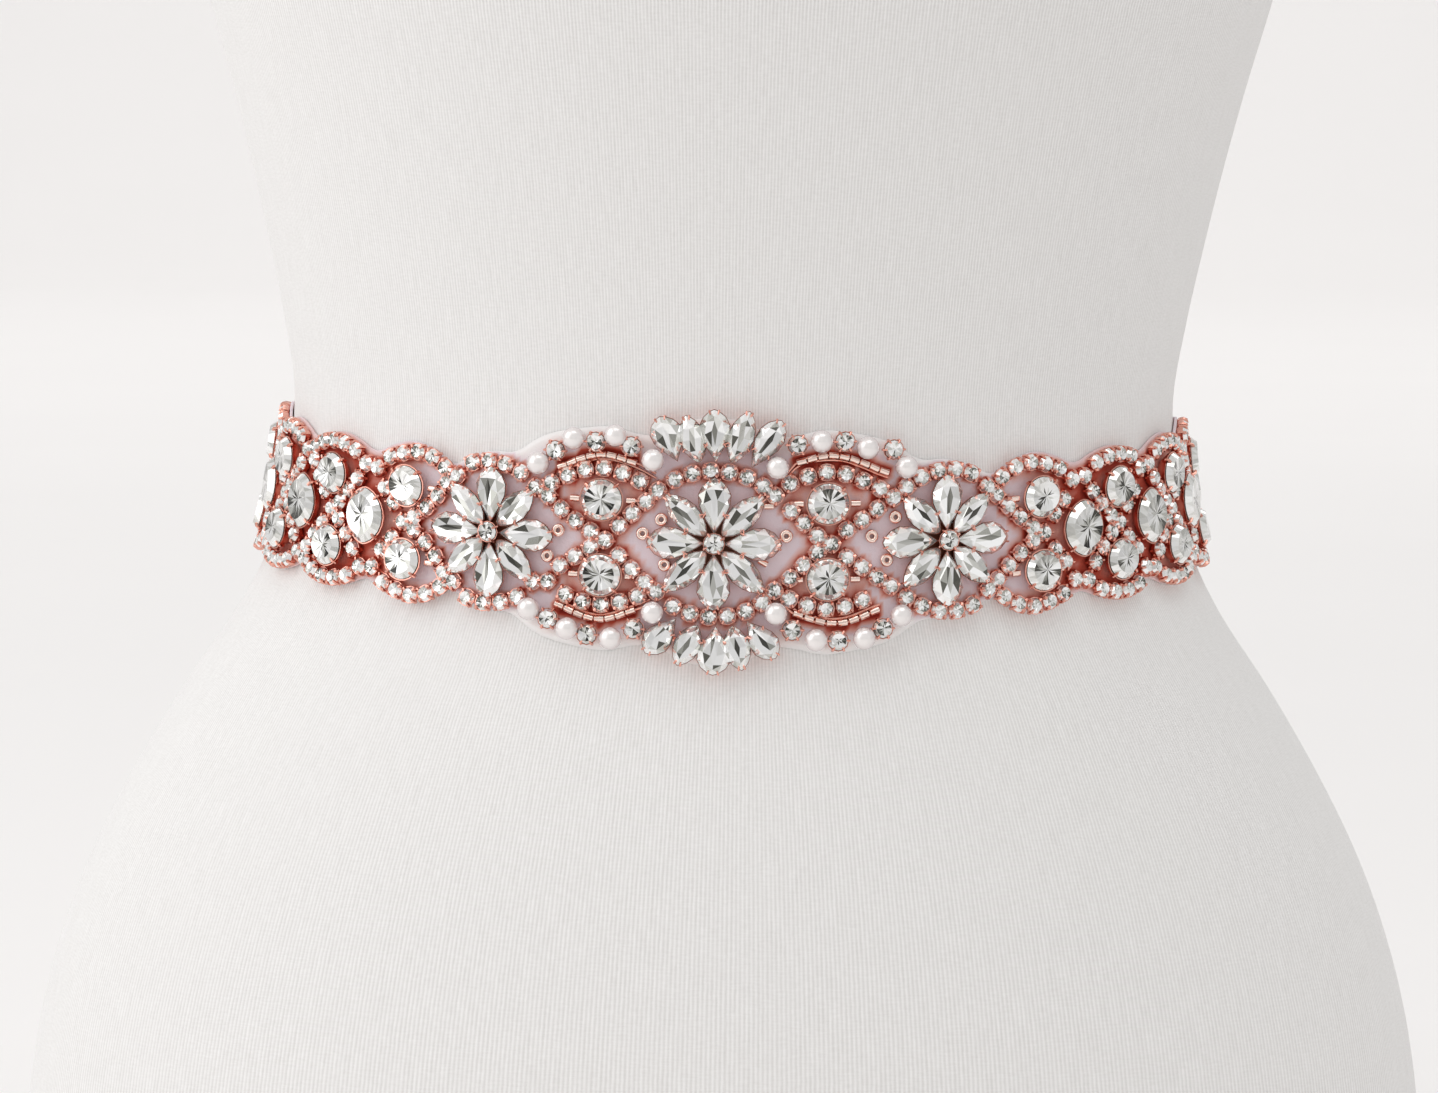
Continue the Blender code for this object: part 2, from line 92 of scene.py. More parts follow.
JERSEY_SHADE = "E0DEDC"


def eased(ends, slopes, span, t):
    """A smooth curve from one key to the next, at share t of the span between them."""
    low = ends[0] * (1 + 2 * t) + slopes[0] * span * t
    high = ends[1] * (3 - 2 * t) + slopes[1] * span * (t - 1)
    return low * (1 - t) ** 2 + high * t**2


def form_sizes(height):
    """Half width, front depth and back depth of the form at each height."""
    height = np.clip(height, FORM_HEIGHTS[0], FORM_TOP)
    i = np.clip(np.searchsorted(FORM_HEIGHTS, height) - 1, 0, len(FORM_HEIGHTS) - 2)
    span = (FORM_HEIGHTS[i + 1] - FORM_HEIGHTS[i])[:, None]
    t = (height - FORM_HEIGHTS[i])[:, None] / span
    return eased((FORM_SIZES[i], FORM_SIZES[i + 1]), (FORM_SLOPES[i], FORM_SLOPES[i + 1]), span, t).T


def form_points(angle, height):
    """Points of the form's skin. Angle 0 is the front middle, and grows towards +X."""
    half_width, front, back = form_sizes(height)
    depth = np.where(np.cos(angle) > 0, front, back)
    return np.stack([half_width * np.sin(angle), -depth * np.cos(angle), height], axis=1)


def run_along(points):
    """How far along a row of points each one is."""
    return np.concatenate([[0.0], np.cumsum(np.linalg.norm(np.diff(points, axis=0), axis=1))])


def linear(colour):
    """An sRGB hex colour as linear RGBA."""
    values = [int(colour[i : i + 2], 16) / 255 for i in (0, 2, 4)]
    return (*[v / 12.92 if v <= 0.04045 else ((v + 0.055) / 1.055) ** 2.4 for v in values], 1.0)


def feed(node, inputs):
    """Gives each input of a node a value, or links it to a socket."""
    for key, value in dict(inputs).items():
        if isinstance(value, bpy.types.NodeSocket):
            node.id_data.links.new(value, node.inputs[key])
        else:
            node.inputs[key].default_value = value


def add_node(tree, kind, inputs=(), **settings):
    """A node with its settings and inputs."""
    node = tree.nodes.new(kind)
    for key, value in settings.items():
        setattr(node, key, value)
    feed(node, inputs)
    return node


def add_math(tree, operation, *values):
    return add_node(tree, "ShaderNodeMath", enumerate(values), operation=operation).outputs[0]


def add_mix(tree, factor, low, high):
    """A blend of two hex colours."""
    inputs = {"Factor": factor, "A": linear(low), "B": linear(high)}
    return add_node(tree, "ShaderNodeMix", inputs, data_type="RGBA").outputs["Result"]


def add_range(tree, value, before=(0.0, 1.0), after=(0.0, 1.0)):
    """A value carried over from one range to another."""
    ends = {"From Min": before[0], "From Max": before[1], "To Min": after[0], "To Max": after[1]}
    return add_node(tree, "ShaderNodeMapRange", {"Value": value, **ends}).outputs["Result"]


def add_noise(tree, place, scale, detail):
    inputs = {"Vector": place, "Scale": scale, "Detail": detail}
    return add_node(tree, "ShaderNodeTexNoise", inputs).outputs["Fac"]


def add_bump(tree, height, strength, depth):
    """A relief with its depth in millimetres."""
    inputs = {"Height": height, "Strength": strength, "Distance": depth * MM}
    return add_node(tree, "ShaderNodeBump", inputs).outputs["Normal"]


def cloth_place(tree):
    """A place on a cloth, in metres along it and across it."""
    return add_node(tree, "ShaderNodeUVMap", uv_map="cloth").outputs["UV"]


def cloth_noise(tree, place, width, length, detail):
    """Noise in grains of that width and length in millimetres."""
    stretch = (1 / (width * MM), 1 / (length * MM), 1.0)
    grains = add_node(tree, "ShaderNodeMapping", {"Vector": place, "Scale": stretch}).outputs["Vector"]
    return add_noise(tree, grains, 1.0, detail)


def new_finish(name, values):
    """A material with these values on its shader: (material, tree, shader)."""
    made = bpy.data.materials.new(name)
    made.use_nodes = True
    shader = made.node_tree.nodes["Principled BSDF"]
    feed(shader, values)
    return made, made.node_tree, shader


def new_object(name, data):
    """An object at the origin, in the scene."""
    made = bpy.data.objects.new(name, data)
    bpy.context.scene.collection.objects.link(made)
    return made


def new_mesh(name, points, faces=()):
    mesh = bpy.data.meshes.new(name)
    mesh.from_pydata([tuple(point) for point in points], [], faces)
    return mesh


def smooth(mesh, angle):
    """Shades a mesh smooth, but for edges sharper than that angle in degrees."""
    mesh.shade_smooth()
    mesh.set_sharp_from_angle(angle=np.radians(angle))


def new_piece(name, mesh, finish, smooth_angle=None):
    """A piece of the scene at the origin, smooth below that angle in degrees, or flat."""
    mesh.materials.clear()
    mesh.materials.append(finish)
    if smooth_angle is None:
        mesh.shade_flat()
    else:
        smooth(mesh, smooth_angle)
    return new_object(name, mesh)


def strips(rows, columns, closed):
    """The faces between rows of points, where closed joins the last column to the first."""
    faces = []
    for row in range(rows - 1):
        for i in range(columns if closed else columns - 1):
            low, high = row * columns, (row + 1) * columns
            j = (i + 1) % columns
            faces.append((low + i, low + j, high + j, high + i))
    return faces


def grid_mesh(name, points, uv):
    """A skin of rows by columns of points, with UVs in metres. One more column of UVs closes it."""
    rows, columns = points.shape[:2]
    mesh = new_mesh(name, points.reshape(-1, 3), strips(rows, columns, uv.shape[1] > columns))
    corners = uv.reshape(-1, 2)[np.ravel(strips(rows, uv.shape[1], False))]
    mesh.uv_layers.new(name="cloth").data.foreach_set("uv", corners.astype(np.float32).ravel())
    return mesh


levels = np.arange(0.0, FORM_TOP + FORM_STEP / 2, FORM_STEP)
levels = np.unique(np.concatenate([EDGE_LEVELS, levels, FORM_TOP - EDGE_LEVELS]))
around = np.arange(FORM_SIDES) * 2 * np.pi / FORM_SIDES
skin = np.array([form_points(around, np.full(FORM_SIDES, level)) for level in levels])
# The hem and the top of the neck are rounded over by a few millimetres.
edge = np.minimum(levels, FORM_TOP - levels)
inset = FORM_EDGE - np.sqrt(FORM_EDGE**2 - np.clip(FORM_EDGE - edge, 0, None) ** 2)
skin[:, :, :2] *= 1 - inset[:, None, None] / np.linalg.norm(skin[:, :, :2], axis=2, keepdims=True)
waist = form_points(around, np.full(FORM_SIDES, FORM_WAIST))
waist_run = run_along(np.concatenate([waist, waist[:1]]))
jersey_uv = np.stack(np.meshgrid(waist_run * MM, levels * MM), axis=2)
form_mesh = grid_mesh("dress_form_cover", skin * MM, jersey_uv)
edit = bmesh.new()
edit.from_mesh(form_mesh)
edit.verts.ensure_lookup_table()
base, top = edit.verts[:FORM_SIDES], edit.verts[-FORM_SIDES:]
for height, rim, after in ((0.0, base[1:] + base[:1], base), (FORM_TOP, top, top[1:] + top[:1])):
    middle = edit.verts.new((0.0, 0.0, height * MM))
    for pair in zip(rim, after):
        edit.faces.new((middle, *pair))
edit.to_mesh(form_mesh)
edit.free()

# Knitted jersey: matt, with fine upright ribs and a few slubs, and a soft fuzz at grazing angles.
jersey, tree, shader = new_finish("knitted cotton jersey", {"Roughness": 0.88, "Specular IOR Level": 0.25,
                                                            "Sheen Weight": 0.18, "Sheen Roughness": 0.5})
place = cloth_place(tree)
slubs = cloth_noise(tree, place, SLUB_WIDTH, SLUB_LENGTH, 3.0)
weft = add_math(tree, "MULTIPLY", cloth_noise(tree, place, 4 * SLUB_WIDTH, SLUB_WIDTH, 2.0), 0.5)
knit = add_math(tree, "MULTIPLY_ADD", slubs, 0.5, weft)
ribs = add_node(tree, "ShaderNodeTexWave", {"Vector": place, "Scale": np.pi / (10 * RIB_PITCH * MM),
                                            "Distortion": 0.6, "Detail": 1.0}, bands_direction="X")
relief = add_math(tree, "MULTIPLY_ADD", ribs.outputs["Fac"], 0.5, knit)
# The colour follows the relief, darker where it is low: painted shade in the grooves of the ribs and the
# knit.
shade = add_range(tree, relief, before=(0.3, 1.1))
feed(shader, {"Base Color": add_mix(tree, shade, JERSEY_SHADE, JERSEY_WHITE),
              "Normal": add_bump(tree, relief, 0.26, KNIT_DEPTH)})

dress_form = new_piece("dress_form_cover", form_mesh, jersey, 50)
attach(dress_form, "root")
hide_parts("dress_form")

# Backing
# The pale lilac cloth that every stone is sewn to, a firm felt cut along the scalloped outline. It lies round
# the front and both sides of the form. Near the plated metal its colour carries painted reflection of the
# rose gold and painted shade.
SASH_HEIGHT = 235.0
SASH_RISE = 7.3
SASH_SHIFT = -4.7
CLOTH_LIFT = 0.4
CLOTH_WALL = 1.0
APPLIQUE_END = 206.5
CLOTH_EDGE = (
    # distance from the front middle, height of the cut edge
    (0, 33), (8, 32), (14.5, 27.5), (21, 28), (28, 30), (35, 29),
    (41, 28), (47, 26), (51.5, 22.5),
)
CLOTH_EDGE_SIDE = ((-5, 20.8), (0, 21.7), (7.5, 19.7))
FIRST_SCALLOP = ((-13.5, 15.8), (-7, 20), (0, 22), (7, 20))
SCALLOP_PEAK = 21.0
SCALLOP_VALLEY = 16.8
SCALLOP_SHOULDER = 1.2
LOWER_EDGE_RISE = 1.0
SIDES = (
    # side, direction, side flower, first pair of stones
    ("right", 1, 60.5, 88.2),
    ("left", -1, 58.9, 84.6),
)
REPEAT = 27.0
REPEATS = 4
QUARTER = REPEAT / 4
BACKING_STEP = 1.5
BACKING_ROWS = 30
BACKING_FELT = 0.8
FELT_DEPTH = 0.3
# Felt colours: the white and pale lilac end is the felt's own, the rose and deep red end is painted
# reflection of the rose gold and painted shade.
FELT_TINT_PAINTED_REFLECTION_TONES = ((0.0, "F8F5F4"), (0.14, "EDE1E8"), (0.45, "E9B6AA"), (0.75, "C85B48"), (1.0, "97281C"))


def girth(height):
    half_width, front, back = form_sizes(height)
    return half_width + (front + back) / 2


def centre_height(angle):
    """The sash dips a little at the front."""
    return SASH_HEIGHT + SASH_RISE * (1 - np.cos(angle))


LINE_ANGLES = np.linspace(-1.25 * np.pi, 1.25 * np.pi, 1001)
LINE_LENGTHS = run_along(form_points(LINE_ANGLES, centre_height(LINE_ANGLES)))
LINE_LENGTHS -= np.interp(0.0, LINE_ANGLES, LINE_LENGTHS)
HALF_GIRTH = float(np.interp(np.pi, LINE_ANGLES, LINE_LENGTHS))


def on_band(points):
    """Wraps points of the flat layout round the form, and turns them to metres."""
    s, h, d = points.T
    angle = np.interp(s + SASH_SHIFT, LINE_LENGTHS, LINE_ANGLES)
    line = centre_height(angle)
    height = line + h
    angle = angle * girth(line) / girth(height)
    turn, rise = 0.005, 1
    across = form_points(angle + turn, height) - form_points(angle - turn, height)
    up = form_points(angle, height + rise) - form_points(angle, height - rise)
    outward = np.cross(across, up)
    outward /= np.linalg.norm(outward, axis=1)[:, None]
    return (form_points(angle, height) + outward * d[:, None]) * MM


def repeat_starts(first):
    return [first + REPEAT * i for i in range(REPEATS)]


def both_sides(right, left):
    """Keys from the left end to the right end, where the first of each is the front middle."""
    return [(-s, h) for s, h in left[:0:-1]] + list(right)


def scallops(first, peak, valley):
    """The repeat along the side, from its first valley to the end of the applique."""
    keys = []
    shoulder = peak - SCALLOP_SHOULDER
    for start in repeat_starts(first)[1:]:
        keys += [(start - QUARTER, shoulder), (start, peak), (start + QUARTER, shoulder),
                 (start + 2 * QUARTER, valley)]
    return [key for key in keys if key[0] < APPLIQUE_END - QUARTER]


def cloth_edge_keys(flower, first):
    """The cut edge of the backing on one side, from the front middle to the end."""
    keys = list(CLOTH_EDGE)
    keys += [(flower + s, h) for s, h in CLOTH_EDGE_SIDE]
    keys += [(first + s, h) for s, h in FIRST_SCALLOP]
    keys += [(first + 2 * QUARTER, SCALLOP_VALLEY)]
    keys += scallops(first, SCALLOP_PEAK, SCALLOP_VALLEY)
    return keys + [(APPLIQUE_END, SCALLOP_VALLEY + SCALLOP_SHOULDER)]


def baked(piece):
    """The mesh of a piece with its modifiers applied, which then come off."""
    bpy.context.view_layer.update()
    mesh = bpy.data.meshes.new_from_object(piece.evaluated_get(bpy.context.evaluated_depsgraph_get()))
    piece.modifiers.clear()
    return mesh


def cloth_shell(name, stations, low_edge, high_edge, lift, rows, thickness, finish):
    """One sheet of cloth on the form, with a wall of its own thickness outwards."""
    shape = (rows, len(stations))
    heights = low_edge + (high_edge - low_edge) * np.linspace(0, 1, rows)[:, None]
    flat = np.stack([np.broadcast_to(values, shape) for values in (stations, heights, lift)], axis=2)
    points = on_band(flat.reshape(-1, 3)).reshape(flat.shape)
    if stations[-1] < stations[0]:
        flat, points = flat[:, ::-1], points[:, ::-1]
    piece = new_piece(name, grid_mesh(name, points, flat[:, :, :2] * MM), finish, 60)
    wall = piece.modifiers.new("wall", "SOLIDIFY")
    wall.thickness = thickness * MM
    wall.offset = 1.0
    piece.data = baked(piece)
    return piece


edge_keys = np.array(both_sides(*(cloth_edge_keys(flower, first) for _, _, flower, first in SIDES)))
stations = np.linspace(-APPLIQUE_END, APPLIQUE_END, round(2 * APPLIQUE_END / BACKING_STEP) + 1)
edge = np.interp(stations, edge_keys[:, 0], edge_keys[:, 1])
soft = np.array([1.0, 2.0, 2.0, 2.0, 1.0])
edge = np.convolve(np.pad(edge, 2, mode="edge"), soft / soft.sum(), mode="valid")

# Felt: matt and pale, with a fine fibre relief. Its colour carries painted reflection of the rose gold and
# painted shade, stronger where metal stands close by.
felt, tree, shader = new_finish("pale lilac wool felt", {"Roughness": 0.85, "Specular IOR Level": 0.2,
                                                         "Sheen Weight": 0.1, "Sheen Roughness": 0.4})
fibres = add_noise(tree, cloth_place(tree), 1600.0, 3.0)
felt_tint_painted_reflection_shade = add_node(tree, "ShaderNodeAttribute", attribute_name="felt_tint_painted_reflection_shade").outputs["Fac"]


def add_ramp(tree, factor, stops):
    """A colour ramp through (position, hex colour) stops."""
    node = add_node(tree, "ShaderNodeValToRGB", {"Fac": factor})
    ramp = node.color_ramp
    for element, (position, colour) in zip(ramp.elements, (stops[0], stops[-1])):
        element.position = position
        element.color = linear(colour)
    for position, colour in stops[1:-1]:
        ramp.elements.new(position).color = linear(colour)
    return node.outputs["Color"]


feed(shader, {"Base Color": add_ramp(tree, felt_tint_painted_reflection_shade, FELT_TINT_PAINTED_REFLECTION_TONES),
              "Normal": add_bump(tree, fibres, 0.35, FELT_DEPTH)})

backing = cloth_shell("backing_felt", stations, LOWER_EDGE_RISE - edge, edge, CLOTH_LIFT, BACKING_ROWS,
                      BACKING_FELT, felt)
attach(backing, "root")
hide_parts("backing_cloth")

# Ribbon
# Two lengths of ivory satin ribbon, sewn to the ends of the backing and crossing flat at the centre back, the
# left one on top. Satin has a smooth float of fine threads along it, and a narrow woven edge on both sides.
RIBBON_HALF = 16.0
RIBBON_OVERLAP = 10.0
RIBBON_RAMP = 16.0
RIBBON_STEP = 3.0
RIBBON_ROWS = 17
RIBBON_WALL = 0.7
SEAM_GAP = 0.3
WOVEN_EDGE = (1.6, 1.3)
SATIN_IVORY = "EFE7E1"
SATIN_SHADE = "E0D5CF"
SATIN_THREAD = 0.5
SATIN_FLOAT = 15.0
SATIN_DEPTH = 0.2

satin, tree, shader = new_finish("ivory polyester satin", {"Roughness": 0.36, "Specular IOR Level": 0.5,
                                                           "Sheen Weight": 0.15, "Sheen Roughness": 0.3})
place = cloth_place(tree)
threads = cloth_noise(tree, place, SATIN_FLOAT, SATIN_THREAD, 2.0)
split = add_node(tree, "ShaderNodeSeparateXYZ", {"Vector": place})
height = add_math(tree, "ABSOLUTE", split.outputs["Y"])
woven = add_range(tree, height, before=[(RIBBON_HALF - inset) * MM for inset in WOVEN_EDGE])
relief = add_math(tree, "MULTIPLY_ADD", woven, 2.0, threads)
feed(shader, {"Base Color": add_mix(tree, threads, SATIN_SHADE, SATIN_IVORY),
              "Normal": add_bump(tree, relief, 0.3, SATIN_DEPTH)})

for side, sign in (("right", 1), ("left", -1)):
    start = APPLIQUE_END + SEAM_GAP
    end = HALF_GIRTH - sign * SASH_SHIFT + RIBBON_OVERLAP
    lengths = np.linspace(start, end, round((end - start) / RIBBON_STEP) + 1)
    lift = np.full(len(lengths), CLOTH_LIFT)
    if sign < 0:
        ramp = (lengths - (end - 2 * RIBBON_OVERLAP - 2 * RIBBON_RAMP)) / RIBBON_RAMP
        ramp = np.clip(ramp, 0, 1)
        lift += (CLOTH_WALL + CLOTH_LIFT) * ramp * ramp * (3 - 2 * ramp)
    ribbon = cloth_shell(f"ribbon_{side}_satin", lengths * sign, -RIBBON_HALF, RIBBON_HALF, lift, RIBBON_ROWS,
                         RIBBON_WALL, satin)
    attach(ribbon, "root")
    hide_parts(f"ribbon_{side}")

# Crystal cup chain
# Small round crystals in plated brass cups with four claws, linked in a row and sewn down. Two mirrored waves
# cross between the motifs, with an arc over each eye and each pair of stones and a row across each end.
CHAIN_PITCH = 4.8
CHAIN_WIDTH = 4.2
CHAIN_SEAT = 1.42
CHAIN_STONE = 2.2
CHAIN_GEM = (0.7, 1.75, 2.8, 0.7)
CLOSEST = 3.4
EYE = 29.0
RING_KEYS = ((0, 19), (9.9, 16.7), (17.7, 10.4), (EYE, 0), (40.2, 7.6))
RING_HALF = ((-12, 13.6), (-6.5, 16.9), (0, 18.6), (6.5, 17.6), (12.5, 13))
RING_CORNER = (-8, 6.3)
WAVE_PEAK = 13.6
FIRST_ARC = ((-15, 12.6), (-12.5, 14.8), (-8.5, 17.6), (-2.5, 19), (5, 17.2), (13.5, 14))
ARC_PEAK = 18.3
ARC_VALLEY = 14.2
ARC_END = (0.5, 0.8)
END_ROW = (-ARC_VALLEY, 0.2, ARC_VALLEY)
EYE_ARC_SPAN = ((15, 0.71), (20, 0.86), (29.5, 1), (41.5, 0.79), (47, 0.62))
EYE_ARC_PEAKS = (18.8, -16.8)
ROSE_GOLD = ("E59C89", "F4BBAB")
# Colours of the painted reflection on the crystal facets, from dark to white by tone.
PAINTED_REFLECTION_RAMP = ((0.0, "141311"), (0.1, "5E5D55"), (0.25, "BFBFB8"), (0.5, "F6F6F3"), (0.75, "FFFFFF"))


def smooth_path(keys, step):
    """Even points on a smooth curve through the keys, with one wherever it crosses the centre line."""
    keys = np.asarray(keys, float)
    lengths = run_along(keys)
    slopes = np.gradient(keys, lengths, axis=0)
    fine = [eased(keys[i : i + 2], slopes[i : i + 2], span, t)
            for i, span in enumerate(np.diff(lengths)) for t in np.linspace(0, 1, 12, endpoint=False)]
    fine = np.array(fine + [keys[-1]])
    travelled = run_along(fine)
    i = np.nonzero(fine[:-1, 1] * fine[1:, 1] < 0)[0]
    share = fine[i, 1] / (fine[i, 1] - fine[i + 1, 1])
    stops = [0.0, *(travelled[i] + share * (travelled[i + 1] - travelled[i])), travelled[-1]]
    even = [0.0]
    for start, end in zip(stops, stops[1:]):
        count = max(1, round((end - start) / step))
        even += list(np.linspace(start, end, count + 1)[1:])
    return np.stack([np.interp(even, travelled, fine[:, k]) for k in range(2)], axis=1)


def headings(path):
    """Which way a row of points runs at each of them."""
    ahead = np.gradient(path, axis=0)
    return ahead / np.linalg.norm(ahead, axis=1)[:, None]


def circle(centre, radius, count):
    """Points round a circle, or an ellipse if given two radii."""
    turn = np.arange(count) * 2 * np.pi / count
    return centre + radius * np.stack([np.cos(turn), np.sin(turn)], axis=1)


RAYS = circle((0, 0), 1.0, 8)


def lifted(places, height):
    """Places of the flat layout at one height over the form."""
    return np.column_stack([places, np.full(len(places), height)])


def ring_at(outline, middle, scale, height):
    """An outline scaled about its middle, at one height."""
    return lifted(middle + (outline - middle) * scale, height)


# A body is made of its points, its faces and a painted reflection tone for each face, or none.
def loft(rings):
    """A closed body through rings of equal length."""
    points = np.concatenate(rings)
    count = len(rings[0])
    caps = [tuple(range(count))[::-1], tuple(range(len(points) - count, len(points)))]
    return points, caps + strips(len(rings), count, True), []


def joined(bodies):
    """Several bodies as one."""
    points, faces, tones = np.empty((0, 3)), [], []
    for more, more_faces, more_tones in bodies:
        faces += [tuple(len(points) + i for i in face) for face in more_faces]
        points = np.concatenate([points, more])
        tones += more_tones
    return points, faces, tones


def body_mesh(name, body, on_sash=False):
    """A mesh of closed bodies facing out, wrapped round the form if asked."""
    points, faces, tones = body
    mesh = new_mesh(name, on_band(points) if on_sash else points * MM, faces)
    edit = bmesh.new()
    edit.from_mesh(mesh)
    bmesh.ops.recalc_face_normals(edit, faces=edit.faces)
    edit.to_mesh(mesh)
    edit.free()
    if tones:
        mesh.attributes.new("facet_reflection_paint", "FLOAT", "FACE").data.foreach_set("value", np.array(tones, np.float32))
    return mesh


def bar(points, radii, sides=6):
    """A tapered bar or wire through points."""
    points = np.asarray(points, float)
    ahead = headings(points)
    rings = []
    side = np.cross(ahead[0], (0.31, 0.17, 0.93))
    for point, way, radius in zip(points, ahead, np.broadcast_to(radii, len(points))):
        side = side - way * np.dot(side, way)
        side /= np.linalg.norm(side)
        turned = circle((0, 0), radius, sides)
        rings.append(point + turned[:, :1] * side + turned[:, 1:] * np.cross(way, side))
    return loft(rings)


# Each facet has a tone of its own, from 0 where it is painted dark to 1 where it is painted light: painted
# reflection that stands in for what it throws back.
SPARK_TONES = (0.05, 0.3, 0.6, 0.95)
PETAL_TONES = (0.1, 0.22, 0.4, 0.6, 0.75, 0.85, 0.92, 0.98)
BLOCK_TONES = (0.05, 0.15, 0.3, 0.98)
PETAL_BLOCK = np.array([0.5, 0.2, 0.45, 0.2])[:, None]
STAR_SCALES = (0.26, 0.5)
draws = np.random.default_rng(12)


def stone_base(outline, middle, foot, girdle):
    """The lower part of a stone up to its rim: rings, faces and tones."""
    rings = [ring_at(outline, middle, scale, height)
             for scale, height in ((0.6, foot), (0.98, girdle - 0.25), (1.0, girdle))]
    faces = [tuple(range(len(outline)))[::-1]] + strips(3, len(outline), True)
    return rings, faces, [0.5] * len(faces)


def cut_round(outline, middle, foot, girdle, top, table=0.76, wedge=1, painted_dark_share=0.22, lightest_painted=0.95):
    """A brilliant: narrow facets painted light round the rim, and inside them spokes painted light and dark
    to the centre, as painted reflection.

    A wedge is how many facets side by side share a tone.
    """
    count = len(outline)
    rings, faces, tones = stone_base(outline, middle, foot, girdle)
    scale = np.where(np.arange(count) % 2 == 0, *STAR_SCALES)[:, None]
    star = middle + (outline - middle) * scale
    rings += [ring_at(outline, middle, table, top),
              np.column_stack([star, top - 0.25 + 0.3 * (scale - STAR_SCALES[0])]),
              ring_at(outline[2:3], middle, 0.05, top - 0.4)]
    rim, edge_at, star_at, centre = (k * count for k in (2, 3, 4, 5))
    for i in range(count):
        j = (i + 1) % count
        faces += [(rim + i, rim + j, edge_at + j), (rim + i, edge_at + j, edge_at + i)]
        tones += list(draws.uniform(0.3, lightest_painted - 0.05, 2))
        if i % wedge == 0:
            painted_dark = draws.random() < painted_dark_share
            spoke = draws.uniform(0.0, 0.1) if painted_dark else draws.uniform(0.22, lightest_painted)
        faces += [(edge_at + i, edge_at + j, star_at + j), (edge_at + i, star_at + j, star_at + i)]
        tones += [spoke, min(spoke + 0.12, 1.0)]
        faces.append((star_at + i, star_at + j, centre))
        tones.append(draws.choice(SPARK_TONES))
    return np.concatenate(rings), faces, tones


def cut_petal(outline, middle, foot, girdle, top, table=0.7):
    """A long stone: sloping facets along its outline, and longer ones inside them round a small block."""
    count = len(outline)
    rings, faces, tones = stone_base(outline, middle, foot, girdle)
    rings += [ring_at(outline[::2], middle, table, top),
              ring_at(outline[::4], middle, PETAL_BLOCK, top - 0.15)]
    half, quarter = count // 2, count // 4
    rim, edge_at = 2 * count, 3 * count
    block_at = edge_at + half
    # Both belts of facets have a wide one at each corner of the inner ring, between two narrow ones.
    # Each facet is given a random painted reflection tone.
    for outer, size, inner, pick in (
        (rim, half, edge_at, lambda: draws.uniform(0.25, 0.95, 3)),
        (edge_at, quarter, block_at, lambda: draws.choice(PETAL_TONES, 3)),
    ):
        for k in range(size):
            start, peak, end = outer + 2 * k, outer + 2 * k + 1, outer + (2 * k + 2) % (2 * size)
            here, after = inner + k, inner + (k + 1) % size
            faces += [(start, peak, here), (peak, end, after), (peak, after, here)]
            tones += list(pick())
    faces.append(tuple(block_at + k for k in range(quarter)))
    tones.append(draws.choice(BLOCK_TONES))
    return np.concatenate(rings), faces, tones


def setter(name, finish):
    """A tree that sets a unit on every point, out and along as the point's attributes say."""
    tree = bpy.data.node_groups.new(name, "GeometryNodeTree")
    sockets = {}
    for key, way, kind in (("Geometry", "INPUT", "Geometry"), ("Unit", "INPUT", "Object"),
                           ("Spread", "INPUT", "Float"), ("Geometry", "OUTPUT", "Geometry")):
        socket = tree.interface.new_socket(name=key, in_out=way, socket_type=f"NodeSocket{kind}")
        sockets[key] = socket.identifier
    entry = add_node(tree, "NodeGroupInput").outputs
    axes = [add_node(tree, "GeometryNodeInputNamedAttribute", {"Name": key}, data_type="FLOAT_VECTOR")
            for key in ("out", "along")]
    turn = add_node(tree, "FunctionNodeAxesToRotation", enumerate(axis.outputs["Attribute"] for axis in axes),
                    primary_axis="Z", secondary_axis="X")
    unit = add_node(tree, "GeometryNodeObjectInfo", {"Object": entry["Unit"]})
    least, most = (add_math(tree, way, 1.0, entry["Spread"]) for way in ("SUBTRACT", "ADD"))
    size = add_node(tree, "FunctionNodeRandomValue", {2: least, 3: most, "Seed": 3}, data_type="FLOAT")
    chance = add_node(tree, "FunctionNodeRandomValue", {"Seed": 7}, data_type="FLOAT")
    placed = add_node(tree, "GeometryNodeInstanceOnPoints", {
        "Points": entry["Geometry"], "Instance": unit.outputs["Geometry"],
        "Rotation": turn.outputs["Rotation"], "Scale": size.outputs[1]})
    # A random value for each copy, read by the crystal finish to shift its painted reflection, as if the
    # stone were turned.
    stored = add_node(tree, "GeometryNodeStoreNamedAttribute", {
        "Geometry": placed.outputs["Instances"], "Name": "turn", "Value": chance.outputs[1]},
        data_type="FLOAT", domain="INSTANCE")
    real = add_node(tree, "GeometryNodeRealizeInstances", {"Geometry": stored.outputs["Geometry"]})
    coat = add_node(tree, "GeometryNodeSetMaterial", {
        "Geometry": real.outputs["Geometry"], "Material": finish})
    add_node(tree, "NodeGroupOutput", {"Geometry": coat.outputs["Geometry"]})
    return tree, sockets


